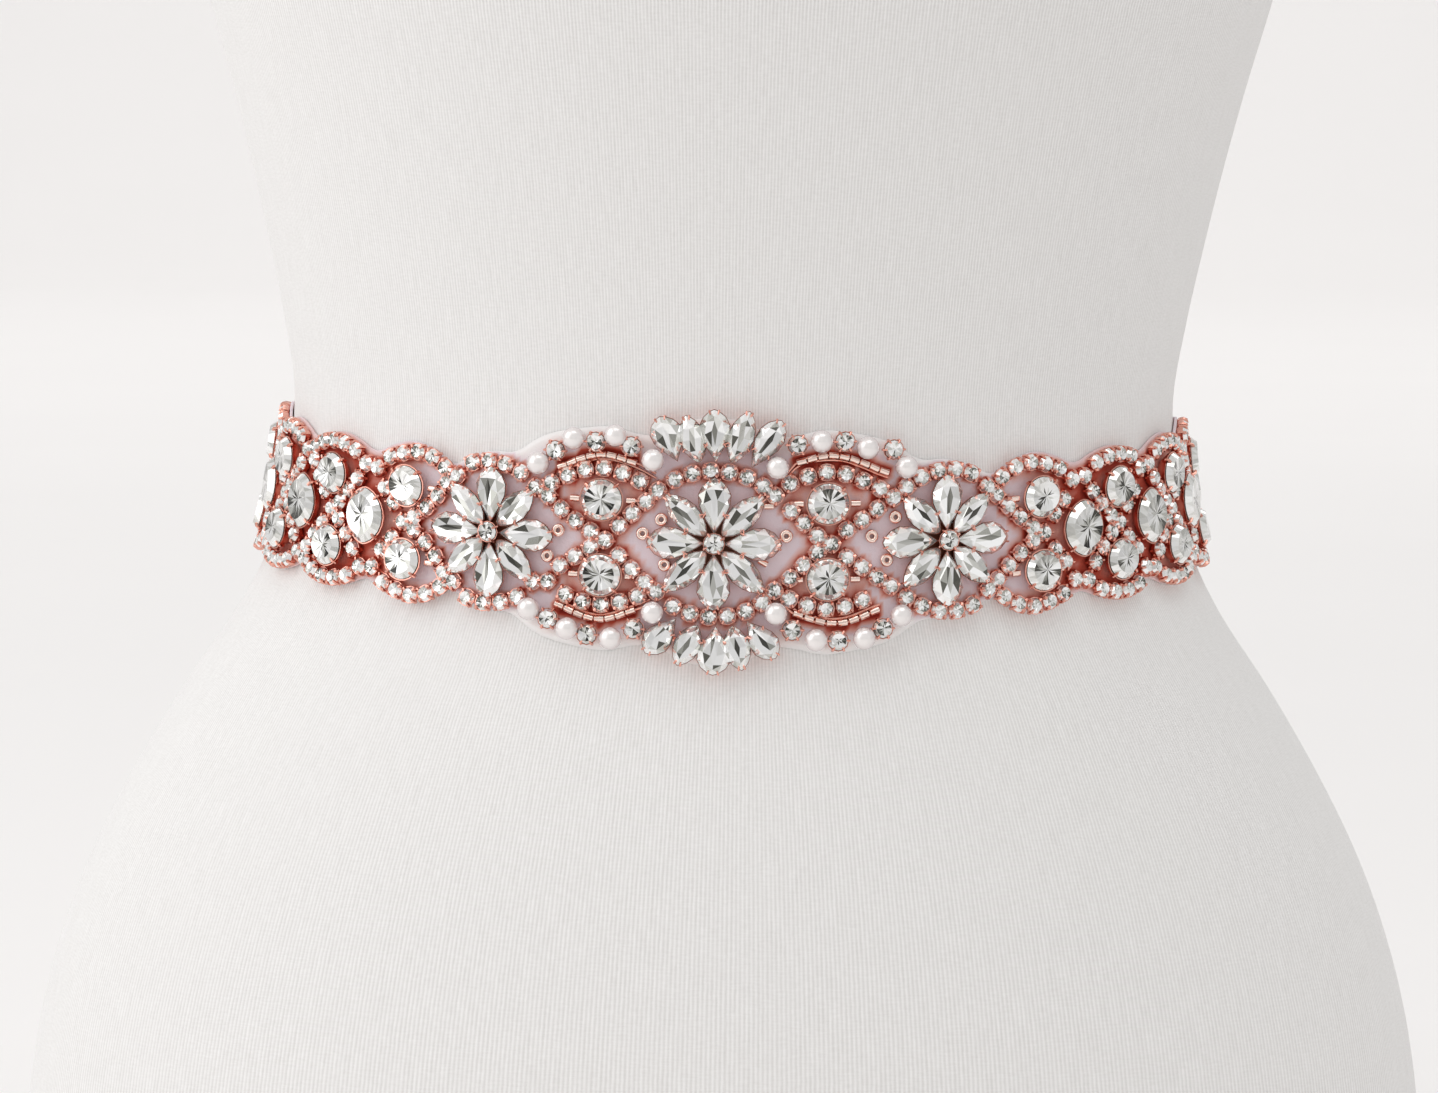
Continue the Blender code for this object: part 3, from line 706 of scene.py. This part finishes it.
def set_on_sash(name, unit_mesh, places, lift, finish, ways=None, spread=0.0):
    """Copies of a unit on the sash at (s, h) places, each pointing along its way, or along the sash."""
    flat = lifted(places, lift)
    ways = np.tile((1, 0), (len(places), 1)) if ways is None else ways
    ahead = lifted(ways, 0.0) * 0.5
    points = on_band(flat)
    carrier = new_object("carrier", new_mesh("carrier", points))
    for key, vectors in (("out", on_band(flat + (0, 0, 1)) - points),
                         ("along", on_band(flat + ahead) - on_band(flat - ahead))):
        vectors = vectors / np.linalg.norm(vectors, axis=1)[:, None]
        layer = carrier.data.attributes.new(key, "FLOAT_VECTOR", "POINT")
        layer.data.foreach_set("vector", vectors.astype(np.float32).ravel())
    unit = new_object("unit", unit_mesh)
    rule = carrier.modifiers.new("setter", "NODES")
    rule.node_group, sockets = setter(name, finish)
    rule[sockets["Unit"]] = unit
    rule[sockets["Spread"]] = spread
    mesh = baked(carrier)
    bpy.data.objects.remove(carrier)
    bpy.data.objects.remove(unit)
    mesh.name = name
    return new_object(name, mesh)


def wave_keys(flower, first):
    """The chain round the centre flower and the side flower, then from side to side of the repeat."""
    keys = [(s, h if s <= EYE else -h) for s, h in RING_KEYS]
    keys += [(flower + s, -h) for s, h in RING_HALF]
    keys += [(first + RING_CORNER[0], -RING_CORNER[1]), (first, 0.0)]
    for i, start in enumerate(repeat_starts(first)):
        peak = WAVE_PEAK * (-1) ** i
        keys += [(start + QUARTER, peak / 2), (start + 2 * QUARTER, peak), (start + 3 * QUARTER, peak / 2),
                 (start + REPEAT, 0.0)]
    return [key for key in keys if key[0] < APPLIQUE_END - CHAIN_WIDTH]


# The rows of the chain: the two waves, the arcs of both sides and the rows across the ends.
wave = both_sides(*(wave_keys(flower, first) for _, _, flower, first in SIDES))
chain_rows = [wave, [(s, -h) for s, h in wave]]
end = APPLIQUE_END - CHAIN_WIDTH / 2
for _, sign, _, first in SIDES:
    arc = [(first + s, h) for s, h in FIRST_ARC] + scallops(first, ARC_PEAK, ARC_VALLEY)
    arc.append((end - ARC_END[0], ARC_VALLEY + ARC_END[1]))
    chain_rows += [[(sign * s, level * h) for s, h in arc] for level in (1, -1)]
    chain_rows += [[(sign * s, peak * share) for s, share in EYE_ARC_SPAN] for peak in EYE_ARC_PEAKS]
    chain_rows.append([(sign * end, h) for h in END_ROW])
# Two crystals that would overlap where rows cross become one, midway.
chain_at, chain_ways = [], []
for row in chain_rows:
    path = smooth_path(row, CHAIN_PITCH)
    for place, way in zip(path, headings(path)):
        gaps = [np.linalg.norm(place - other) for other in chain_at]
        if gaps and min(gaps) < CLOSEST:
            chain_at[np.argmin(gaps)] = (chain_at[np.argmin(gaps)] + place) / 2
        else:
            chain_at.append(place)
            chain_ways.append(way)


def worn_finish(name, values, scale, detail, tones=None, gloss=None):
    """A finish with fine patches of wear, between two colours and between two roughnesses if given."""
    made, tree, shader = new_finish(name, values)
    wear = add_noise(tree, add_node(tree, "ShaderNodeTexCoord").outputs["Object"], scale, detail)
    if tones:
        feed(shader, {"Base Color": add_mix(tree, wear, *tones)})
    if gloss:
        feed(shader, {"Roughness": add_range(tree, wear, after=gloss)})
    return made


# Rose gold plate: a pinkish copper metal, bright and nearly smooth, a little deeper in places.
rose_gold = worn_finish("polished rose gold plate", {"Metallic": 1.0}, 350.0, 2.0, ROSE_GOLD, (0.14, 0.28))

# Foiled crystal: glass with a mirror behind it, partly metallic, whose facet colours are painted reflection,
# light or dark by each facet's tone shifted at random for each stone.
crystal, tree, shader = new_finish("foiled lead crystal", {
    "Metallic": 0.72, "Roughness": 0.05, "Coat Weight": 0.6, "Coat Roughness": 0.02, "Coat IOR": 1.55})
facet_reflection_paint, turn = (add_node(tree, "ShaderNodeAttribute", attribute_name=key).outputs["Fac"]
              for key in ("facet_reflection_paint", "turn"))
feed(shader, {"Base Color": add_ramp(tree, add_math(tree, "MULTIPLY_ADD", turn, 0.25, facet_reflection_paint), PAINTED_REFLECTION_RAMP)})

# The cup is an open eight-sided bowl, with a claw at each of its four corners and a link to the next cup.
CUP_RINGS = (
    # radius, height
    (1.8, 0), (2.2, 0.6), (2.36, 1.7), (2.08, 1.7), (1.8, 1.1),
)
CUP_SQUARE = np.where(np.arange(8) % 2 == 0, 1.0, 1.16)[:, None]
CUP_CLAW = (
    # distance from the middle, height
    (2.35, 0.5), (2.5, 1.7), (2.15, 2.5), (1.6, 2.65),
)
CLAW_RADII = (0.46, 0.46, 0.42, 0.3)
CUP_LINK = ((-2.4, 0, 0.45), (0, 0, 0.4), (2.4, 0, 0.45))
cup_parts = [loft([lifted(RAYS * CUP_SQUARE * radius, height) for radius, height in CUP_RINGS])]
for corner in RAYS[1::2]:
    cup_parts.append(bar([(*(corner * reach), height) for reach, height in CUP_CLAW], CLAW_RADII, 5))
cup_parts.append(bar(CUP_LINK, 0.5, 5))
cup_mesh = body_mesh("cup", joined(cup_parts))
smooth(cup_mesh, 40)
gem_mesh = body_mesh("gem", cut_round(circle((0, 0), CHAIN_STONE, 10), (0, 0), *CHAIN_GEM))
gem_ways = circle((0, 0), 1.0, 360)[draws.integers(0, 360, len(chain_at))]

cups = set_on_sash("chain_cups", cup_mesh, chain_at, CHAIN_SEAT, rose_gold, chain_ways)
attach(cups, "root")
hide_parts("crystal_chain")
gems = set_on_sash("chain_crystals", gem_mesh, chain_at, CHAIN_SEAT, crystal, gem_ways)
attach(gems, "root")

# Eye, pair and single stones
# Foiled glass brilliants, each in a plated cup with claws bent over its girdle: round ones in the eyes beside
# the centre flower and in pairs along the sides, and larger ones, drawn out upright, between the pairs.
SEAT = 1.8
CUP_FOOT = 1.45
ROUND_RADIUS = 5.3
SINGLE_SIZE = (6.3, 7.3)
SINGLE_POINT = 1.25
STONE_GIRDLE = 3.0
STONE_TOP = 4.6
EYE_STONES = (("top", 10.5), ("bottom", -9.2))
PAIR_STONES = (("top", 9.6), ("bottom", -10))
# The side stones are painted with more dark facets and a lower lightest tone.
SIDE_CUT = {"wedge": 2, "painted_dark_share": 0.24, "lightest_painted": 0.74}


def claw_setting(outline, middle, claws, girdle, spread=0.45, thick=0.42):
    """A plated cup round a stone, with claws at some of the outline's points."""
    reach = np.linalg.norm(outline - middle, axis=1)[:, None]

    def cup_ring(grow, height, scale=1.0):
        """The outline scaled about its middle and then moved outwards, at one height."""
        return ring_at(outline, middle, scale + grow / reach, height)

    parts = [loft([cup_ring(0.0, CUP_FOOT, 0.72), cup_ring(spread * 0.7, girdle - 1.0),
                   cup_ring(spread, girdle - 0.3), cup_ring(0.12, girdle - 0.3),
                   cup_ring(0.0, CUP_FOOT + 0.3, 0.7)])]
    # A claw stands up the outside of the cup and bends in over the rim of the stone.
    bends = ((0.1, girdle - 1.6), (spread + 0.15, girdle - 0.4), (0.3, girdle + 0.45), (-0.55, girdle + 0.75))
    for i in claws:
        ray = (outline[i] - middle) / reach[i]
        parts.append(bar([(*(outline[i] + ray * away), height) for away, height in bends],
                         (thick, thick, thick * 0.9, thick * 0.65)))
    return joined(parts)


def sash_piece(name, bodies, finish, smooth_angle=None):
    """Bodies of the flat layout as one piece on the sash."""
    return new_piece(name, body_mesh(name, joined(bodies), True), finish, smooth_angle)


def round_stone(outline, middle, girdle, top, claws, cut=(), foot=SEAT, **setting):
    """A brilliant and its setting."""
    stone = cut_round(outline, middle, foot, SEAT + girdle, SEAT + top, **dict(cut))
    return stone, claw_setting(outline, middle, claws, SEAT + girdle, **setting)


def stones_on_sash(name, stones, nodes=(), bars=()):
    """Stones with their settings and bars, as two pieces, in place of the nodes."""
    piece = sash_piece(f"{name}_stones", [stone for stone, _ in stones], crystal)
    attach(piece, "root")
    if nodes:
        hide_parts(*nodes)
    metal = sash_piece(f"{name}_settings", [setting for _, setting in stones] + [*bars], rose_gold, 40)
    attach(metal, "root")


spots = {"eye": [], "pair": [], "single": []}
for side, sign, _, first in SIDES:
    spots["eye"] += [(f"{level}_{side}", sign * EYE, h) for level, h in EYE_STONES]
    for i, start in enumerate(repeat_starts(first), 1):
        spots["pair"] += [(f"{i}_{level}_{side}", sign * start, h) for level, h in PAIR_STONES]
        spots["single"].append((f"{i}_{side}", sign * (start + 2 * QUARTER), 0.0))
for name, row in spots.items():
    stones = []
    for _, s, h in row:
        outline = circle((s, h), SINGLE_SIZE if name == "single" else ROUND_RADIUS, 24)
        if name == "single":
            across = (outline[:, 0] - s) / SINGLE_SIZE[0]
            outline[:, 0] = s + SINGLE_SIZE[0] * np.sign(across) * np.abs(across) ** SINGLE_POINT
        stones.append(round_stone(outline, (s, h), STONE_GIRDLE, STONE_TOP, (3, 9, 15, 21),
                                  () if name == "eye" else SIDE_CUT))
    stones_on_sash(name, stones, [f"{name}_stone_{place}" for place, _, _ in row])

# Flowers
# Eight pointed foiled stones round a small claw-set one, pears upright and across and marquises between, on a
# round plate of darkened metal that shows as a star between them. Each stone has a cup of its own with claws.
PEAR_REACH = (2.6, 17.2)
PEAR_WIDTH = 8.4
PEAR_SWELL = 1.5
MARQUISE_INNER = 3.0
MARQUISE_OUTER = {"centre": 17.6, "left": 16.3, "right": 16.3}
MARQUISE_WIDTH = 7.0
PETAL_GIRDLE = 2.8
PETAL_ROUNDING = 0.68
CLAW_STONE_RADIUS = 2.5
HUB_GIRDLE = 4.4
HUB_TOP = 5.4
PLATE_RADIUS = 6.4
PLATE_RINGS = (
    # share of the radius, height
    (0.98, 1.45), (1, 1.7), (0.96, 3), (0.4, 3.4),
)
DARK_METAL = ("331A13", "55301F")


def petal_stone(root, tip, width, swell):
    """A petal's stone and its setting. A swell over 1 moves the widest place towards the tip."""
    along = np.subtract(tip, root)
    across = np.array([-along[1], along[0]]) / np.linalg.norm(along) * width / 2
    # The outline has sixteen points, from the root to the tip and back.
    share = (1 - np.cos(np.linspace(0, np.pi, 9))) / 2
    half = np.sin(np.pi * share**swell) ** PETAL_ROUNDING
    share, half = np.append(share, share[-2:0:-1]), np.append(half, -half[-2:0:-1])
    outline = root + along * share[:, None] + across * half[:, None]
    middle = root + along * 0.5 ** (1 / swell)
    stone = cut_petal(outline, middle, SEAT, SEAT + PETAL_GIRDLE, SEAT + STONE_TOP)
    return stone, claw_setting(outline, middle, (3, 7, 9, 13), SEAT + PETAL_GIRDLE, spread=0.18, thick=0.27)


dark_metal = worn_finish("antiqued copper plate", {"Metallic": 0.85, "Roughness": 0.38}, 500.0, 3.0,
                         DARK_METAL)

plates = []
for name, s in [("centre", 0.0)] + [(side, sign * flower) for side, sign, flower, _ in SIDES]:
    centre = np.array([s, 0.0])
    hub = circle(centre, CLAW_STONE_RADIUS, 12)
    stones = [round_stone(hub, centre, HUB_GIRDLE, HUB_TOP, (1, 4, 7, 10), spread=0.3, thick=0.36)]
    pear = (*PEAR_REACH, PEAR_WIDTH, PEAR_SWELL)
    marquise = (MARQUISE_INNER, MARQUISE_OUTER[name], MARQUISE_WIDTH, 1.0)
    for k, ray in enumerate(RAYS):
        inner, outer, width, swell = marquise if k % 2 else pear
        stones.append(petal_stone(centre + ray * inner, centre + ray * outer, width, swell))
    stones_on_sash(f"flower_{name}", stones, [f"flower_{name}"])
    disc = circle(centre, PLATE_RADIUS, 32)
    plates.append(loft([ring_at(disc, centre, scale, height) for scale, height in PLATE_RINGS]))
plate = sash_piece("flower_plates", plates, dark_metal, 35)
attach(plate, "root")

# Fans
# Five pointed stones spread upwards above the centre flower and five downwards below it. They are the same
# foiled glass in claw cups, soldered to a short bar behind them.
FANS = {
    # petal root, petal tip, width
    "top": (((-9.6, 21.5), (-14.3, 33.1), 7.4), ((-4, 21.3), (-7.6, 33.6), 6),
            ((0.2, 21.5), (-0.4, 35.4), 7), ((4.3, 21.3), (8.7, 35), 6),
            ((9.2, 20), (16.8, 32.6), 6.4)),
    "bottom": (((-9.3, -19.7), (-16.7, -28.8), 6.4), ((-3.9, -21.3), (-8.7, -31.7), 6),
               ((0.8, -21.5), (0.2, -34.1), 7.6), ((4.9, -21.3), (7.5, -32.7), 6),
               ((8.6, -20), (15.8, -29.5), 6.4)),
}
FAN_FULLNESS = 1.12
FAN_BAR = {"top": ((-12, 26.4), (0, 27.2), (13.4, 25.4)),
           "bottom": ((-13.4, -24), (0, -26.8), (12.2, -24.6))}
FAN_BAR_LIFT = 2.2
FAN_BAR_RADIUS = 0.7

for name, petals in FANS.items():
    stones = [petal_stone(root, tip, width * FAN_FULLNESS, 1.0 if i % 2 else PEAR_SWELL)
              for i, (root, tip, width) in enumerate(petals)]
    fan_bar = bar(lifted(smooth_path(FAN_BAR[name], 2.0), FAN_BAR_LIFT), FAN_BAR_RADIUS)
    stones_on_sash(f"fan_{name}", stones, [f"fan_{name}"], [fan_bar])

# Pearl rows
# Imitation pearls, six millimetres across, with claw-set crystals between them, strung beside the fans. The
# pearls have a glossy lacquer, white where it faces the eye, and painted shade makes them greyer and pinker
# towards the rim.
TRIM = {
    # pearls, claw-set stones, bugle arc, outer end of its wires
    "top_right": (((15.9, 20.1), (27, 27.1), (39, 25.2), (49.2, 19.8)),
                  ((21, 26.1), (33.2, 26.9), (46, 24.5)),
                  ((20.8, 21.2), (29.6, 23.2), (45.2, 18.2)), (18.6, 18.7)),
    "top_left": (((-15.8, 21.5), (-25.5, 27.7), (-36.5, 26.4), (-45.8, 19.2)),
                 ((-21.5, 24.9), (-30.8, 25.7), (-41.5, 22.8)),
                 ((-41.2, 18.4), (-29, 22.4), (-20.2, 20.4)), (-15.2, 17.9)),
    "bottom_right": (((15.8, -18), (25.9, -24.9), (38.1, -24.7), (47.8, -19.1)),
                     ((20, -22.3), (31.6, -25.2), (43.1, -22.3)),
                     ((20.2, -17.8), (31.6, -20.7), (42.8, -17.2)), (17.6, -15.6)),
    "bottom_left": (((-15.3, -18.3), (-25.6, -25.5), (-36.9, -23.6), (-47.2, -19.2)),
                    ((-20, -22.7), (-31.8, -24.8), (-42.2, -21.3)),
                    ((-41.1, -17.2), (-29, -20.7), (-19.8, -17.7)), (-16.2, -16.2)),
}
PEARL_RADIUS = 3.0
PEARL_SPREAD = 0.02
PEARL_FACE_AND_PAINTED_RIM_SHADE = ("F8F3F1", "D3C4C6")
ROW_STONE = (2.4, 3.6)
ROW_FOOT = 2.4

pearl, tree, shader = new_finish("pearl lacquer", {
    "Metallic": 0.3, "Roughness": 0.24, "Specular IOR Level": 0.8, "Coat Weight": 1.0, "Coat Roughness": 0.05,
    "Coat IOR": 1.7})
# Painted shade: the colour turns grey-pink as the surface turns away from the eye.
facing = add_node(tree, "ShaderNodeLayerWeight", {"Blend": 0.35}).outputs["Facing"]
feed(shader, {"Base Color": add_mix(tree, facing, *PEARL_FACE_AND_PAINTED_RIM_SHADE)})

rim = circle((0, 0), 1.0, 20)
pearl_mesh = body_mesh("pearl", loft([
    lifted(rim * (PEARL_RADIUS * max(np.cos(tilt), 0.02)), PEARL_RADIUS + PEARL_RADIUS * np.sin(tilt))
    for tilt in np.linspace(-np.pi / 2, np.pi / 2, 13)]))
pearl_mesh.shade_smooth()
pearl_at = [spot for row, _, _, _ in TRIM.values() for spot in row]
pearls = set_on_sash("pearls", pearl_mesh, pearl_at, SEAT, pearl, spread=PEARL_SPREAD)
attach(pearls, "root")
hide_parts(*[f"pearl_row_{place}" for place in TRIM])

stones = [round_stone(circle(spot, CLAW_STONE_RADIUS, 12), spot, *ROW_STONE, range(0, 12, 2), foot=ROW_FOOT,
                      spread=0.3, thick=0.34) for _, row, _, _ in TRIM.values() for spot in row]
stones_on_sash("row", stones)

# Bugle arcs
# Short tubes of plated metal on a wire, in a row over each eye between the chain and the pearls, and a second
# wire beside them. The tubes are cut square, so a dark line shows between one and the next.
BUGLE_PITCH = 2.9
BUGLE_LENGTH = 2.6
BUGLE_RADIUS = 0.95
BUGLE_LIFT = 2.5
BUGLE_ENDS = (
    # place along the tube, share of the radius
    (-0.5, 0.8), (-0.46, 1), (0.46, 1), (0.5, 0.8),
)
# A paler rose gold, as painted highlight on the tubes and beads.
PAINTED_HIGHLIGHT_GOLD = "FFE6DA"
WIRE_RADIUS = 0.35
WIRES = (
    # how far it lies inside the arc, lift
    (0, 2.5), (-1.25, 1.95),
)

# The tubes are a drawn rose gold tube with a mirror finish, given a paler copy of the rose gold colour as a
# painted highlight, so they show as the palest and brightest metal on the sash.
highlit_rose_gold = worn_finish("rose gold tube with painted highlight", {"Metallic": 1.0, "Base Color": linear(PAINTED_HIGHLIGHT_GOLD)},
                          600.0, 2.0, gloss=(0.1, 0.22))

tube_rings = [np.column_stack([np.full(10, x * BUGLE_LENGTH), circle((0, 0), BUGLE_RADIUS * radius, 10)])
              for x, radius in BUGLE_ENDS]
bugle_mesh = body_mesh("bugle", loft(tube_rings))
smooth(bugle_mesh, 40)
bugle_at, bugle_ways, wires = [], [], []
for _, _, arc, tail in TRIM.values():
    path = smooth_path(arc, BUGLE_PITCH)
    bugle_at += list((path[1:] + path[:-1]) / 2)
    bugle_ways += list(path[1:] - path[:-1])
    whole = [tail, *arc] if arc[0][0] > 0 else [*arc, tail]
    for drop, lift in WIRES:
        track = smooth_path(whole, 1.5)
        track[:, 1] += drop * np.sign(track[0, 1])
        wires.append(bar(lifted(track, lift), WIRE_RADIUS))
bugles = set_on_sash("bugle_beads", bugle_mesh, bugle_at, BUGLE_LIFT, highlit_rose_gold, bugle_ways)
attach(bugles, "root")
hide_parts(*[f"bugle_arc_{place}" for place in TRIM])
wire = sash_piece("bugle_wires", wires, rose_gold, 60)
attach(wire, "root")

# Seed beads
# Small ring beads and short tubes of the same rose gold as the bugles, paler as a painted highlight, sewn
# down one by one. The rings and two loose tubes fill places round the flowers. The other tubes stand beside
# the eye stones and the first pair of each side.
SEED_SPOTS = ((18.5, 2.1), (-18.5, 2.1), (40.8, 1.8), (-40.8, 1.8), (47.1, 6.6), (44.8, -4.5), (-43.6, -5),
              (-13.7, 5.9), (-12.7, -5.8))
SEED_RADIUS = 1.85
SEED_HOLE = 0.5
SEED_STRETCH = 1.3
SEED_LIFT = 1.4
LOOSE_TUBES = (
    # place, turn
    ((13.9, 9.9), 0), ((12.6, -4.7), -30),
)
SIDE_BEAD = 7.4
TUBE_LIFT = 2.3

# Each ring bead lies flat, so that its hole faces out.
half = (SEED_RADIUS - SEED_HOLE) / 2
section = circle((0, 0), half, 8)
seed_points = np.array([(*(way * (SEED_HOLE + half + across)), SEED_STRETCH * (half + up))
                        for way in circle((0, 0), 1.0, 14) for across, up in section])
seed_faces = [tuple(i % len(seed_points) for i in face) for face in strips(15, 8, True)]
seed_mesh = body_mesh("seed", (seed_points, seed_faces, []))
seed_mesh.shade_smooth()
seeds = set_on_sash("seed_beads", seed_mesh, SEED_SPOTS, SEED_LIFT, highlit_rose_gold)
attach(seeds, "root")
tube_at = [spot for spot, _ in LOOSE_TUBES]
tube_ways = [(np.cos(np.radians(turn)), np.sin(np.radians(turn))) for _, turn in LOOSE_TUBES]
for _, sign, _, first in SIDES:
    for middle, pair in ((EYE, EYE_STONES), (first, PAIR_STONES)):
        tube_at += [(sign * middle + step, height) for _, height in pair for step in (-SIDE_BEAD, SIDE_BEAD)]
tube_ways += [(1.0, 0.0)] * (len(tube_at) - len(tube_ways))
tubes = set_on_sash("side_tubes", bugle_mesh, tube_at, TUBE_LIFT, highlit_rose_gold, tube_ways)
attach(tubes, "root")

# The backing's colour: painted reflection of the rose gold and painted shade, from how near each of its
# points is to plated metal and paler near the cut edge, over the felt's own pale lilac tint, which fades out
# towards the cut edge.
SINGLE_METAL = (-5, 0, 5)
METAL_LIFT = 1.4
METAL_TOUCH = 1.0
PAINTED_REFLECTION_SHADE_ALONG = (
    # distance from the front middle, how far the painted reflection and shade reach, how strong they are
    (0, 16, 50, 76, 104, 130, 150, 206.5),
    (2.2, 2.4, 2.6, 2.6, 12, 12, 10, 8),
    (0.5, 0.55, 0.6, 0.65, 0.98, 0.98, 0.6, 0.5),
)
# Painted shadow along the chain: strength, then the gap where it is full and where it has faded out.
CHAIN_SHADOW = (0.95, 2, 2.9)
# Round the eye stones the painted reflection and shade reach further and are deeper, fading out between these
# distances.
EYE_PAINT_SPAN = (9, 12)
EYE_REACH = 6.0
EYE_STRENGTH = 0.85
PALE_MARGIN = (1, 2)
PALE_SHARE = ((60, 90), (0.1, 0.35))
BASE_CAST = 0.14
BASE_MARGIN = (2.5, 6)

single_metal = [(sign * (start + 2 * QUARTER), h) for _, sign, _, first in SIDES
                for start in repeat_starts(first) for h in SINGLE_METAL]
metal_points = on_band(lifted(np.concatenate([chain_at, bugle_at, single_metal]), METAL_LIFT))
backing_at = np.empty(len(backing.data.vertices) * 3, np.float32)
backing.data.vertices.foreach_get("co", backing_at)
gap = np.linalg.norm(backing_at.reshape(-1, 1, 3) - metal_points[None], axis=2).min(axis=1) / MM
flat_at = np.empty((len(gap), 2))
for corner, place in zip(backing.data.loops, backing.data.uv_layers["cloth"].uv):
    flat_at[corner.vertex_index] = np.array(place.vector) / MM
s, h = flat_at.T
along = np.abs(s)
margin = np.interp(s, stations, edge) - np.abs(h - LOWER_EDGE_RISE / 2) - LOWER_EDGE_RISE / 2
reach = np.interp(along, PAINTED_REFLECTION_SHADE_ALONG[0], PAINTED_REFLECTION_SHADE_ALONG[1])
most = np.interp(along, PAINTED_REFLECTION_SHADE_ALONG[0], PAINTED_REFLECTION_SHADE_ALONG[2])
eye_gap = np.min([np.hypot(along - EYE, h - height) for _, height in EYE_STONES], axis=0)
in_eye = np.interp(eye_gap, EYE_PAINT_SPAN, (1.0, 0.0))
reach += (EYE_REACH - reach) * in_eye
most += (EYE_STRENGTH - most) * in_eye
strength, full, faded = CHAIN_SHADOW
shadow = strength * np.clip((faded - gap) / (faded - full), 0, 1)
pale = np.interp(along, *PALE_SHARE)
inside = pale + (1 - pale) * np.interp(margin, PALE_MARGIN, (0.0, 1.0))
base = BASE_CAST * np.interp(margin, BASE_MARGIN, (0.0, 1.0))
# Painted reflection and shade near metal, or the painted shadow of the chain where that is deeper.
tint_reflection_shade = np.maximum(most * np.clip(1 - (gap - METAL_TOUCH) / reach, 0, 1), shadow) * inside
tint_reflection_shade = np.maximum(tint_reflection_shade, base).astype(np.float32)
backing.data.attributes.new("felt_tint_painted_reflection_shade", "FLOAT", "POINT").data.foreach_set("value", tint_reflection_shade)

# Studio
# A pale floor that rises far behind the form, a large soft light from the left, weaker ones from the right
# and above, a wash on the background and a bright room, in which the stones find light and dark.
SWEEP_BACK = 7.0
SWEEP_RADIUS = 2.0
SWEEP_HALF = 7.0
SWEEP_TOP = 6.0
SWEEP_TONES = ("F6F4F3", "F8F6F5")
floor_end = SWEEP_BACK - SWEEP_RADIUS
profile = [(-SWEEP_HALF, 0.0), (floor_end, 0.0)]
profile += [(floor_end + SWEEP_RADIUS * np.sin(t), SWEEP_RADIUS * (1 - np.cos(t)))
            for t in np.linspace(0, np.pi / 2, 17)[1:]]
profile += [(SWEEP_BACK, SWEEP_TOP)]
sweep_points = [(x, y, z) for x in (-SWEEP_HALF, SWEEP_HALF) for y, z in profile]
count = len(profile)
sweep_mesh = new_mesh("sweep", sweep_points, [(i, i + count, i + count + 1, i + 1) for i in range(count - 1)])
# Background paper: matt, with hardly visible clouds.
paper = worn_finish("seamless background paper", {"Roughness": 0.9, "Specular IOR Level": 0.1}, 3.0, 2.0,
                    SWEEP_TONES)
sweep = new_piece("sweep", sweep_mesh, paper, 60)

scene = bpy.context.scene
scene.view_settings.view_transform = "Standard"
LIGHTS = (
    # name, place, aimed at, width, height, watts
    ("key", (-2.8, -0.95, 1.95), (0, 0, 0.25), 3.4, 3.8, 46),
    ("fill", (2.4, -1.8, 0.9), (0, 0, 0.25), 1.2, 1.6, 1.5),
    ("top", (0.2, -0.6, 2.4), (0, 0, 0.2), 1.6, 1.2, 9.5),
    ("wash", (0, 4, 3.2), (0, 4.5, 0.2), 5, 2.5, 43),
)
for name, spot, aim, width, height, watts in LIGHTS:
    data = bpy.data.lights.new(name, "AREA")
    data.shape = "RECTANGLE"
    data.size = width
    data.size_y = height
    data.energy = watts
    lamp = new_object(name, data)
    lamp.location = spot
    lamp.rotation_euler = (Vector(aim) - Vector(spot)).to_track_quat("-Z", "Y").to_euler()

ROOM = ((0.0, "9A9998"), (0.44, "DCDBDA"), (0.515, "D5D4D3"), (0.56, "F4F3F2"), (1.0, "FFFFFF"))
ROOM_STRENGTH = 0.675
room = bpy.data.worlds.new("studio room")
room.use_nodes = True
tree = room.node_tree
way = add_node(tree, "ShaderNodeTexCoord").outputs["Generated"]
split = add_node(tree, "ShaderNodeSeparateXYZ", {"Vector": way})
height = add_range(tree, split.outputs["Z"], before=(-1.0, 1.0))
feed(tree.nodes["Background"], {"Color": add_ramp(tree, height, ROOM), "Strength": ROOM_STRENGTH})
scene.world = room

# Camera
# A long lens a little above the sash, looking slightly down on it and framing the waist as a close-up.
CAMERA_AIM = Vector((-0.0035, -0.0965, 0.2347))
CAMERA_DISTANCE = 1.455
CAMERA_RISE = np.radians(6.0)
CAMERA_ROLL = np.radians(0.8)
CAMERA_SENSOR = 36.0
CAMERA_LENS = 140.1
away = Vector((0.0, -np.cos(CAMERA_RISE), np.sin(CAMERA_RISE))) * CAMERA_DISTANCE
lens = bpy.data.cameras.new("camera")
lens.sensor_width = CAMERA_SENSOR
lens.lens = CAMERA_LENS
camera = new_object("camera", lens)
tilt = Matrix.Rotation(np.pi / 2 - CAMERA_RISE, 4, "X")
camera.matrix_world = Matrix.Translation(CAMERA_AIM + away) @ tilt @ Matrix.Rotation(CAMERA_ROLL, 4, "Z")
scene.camera = camera
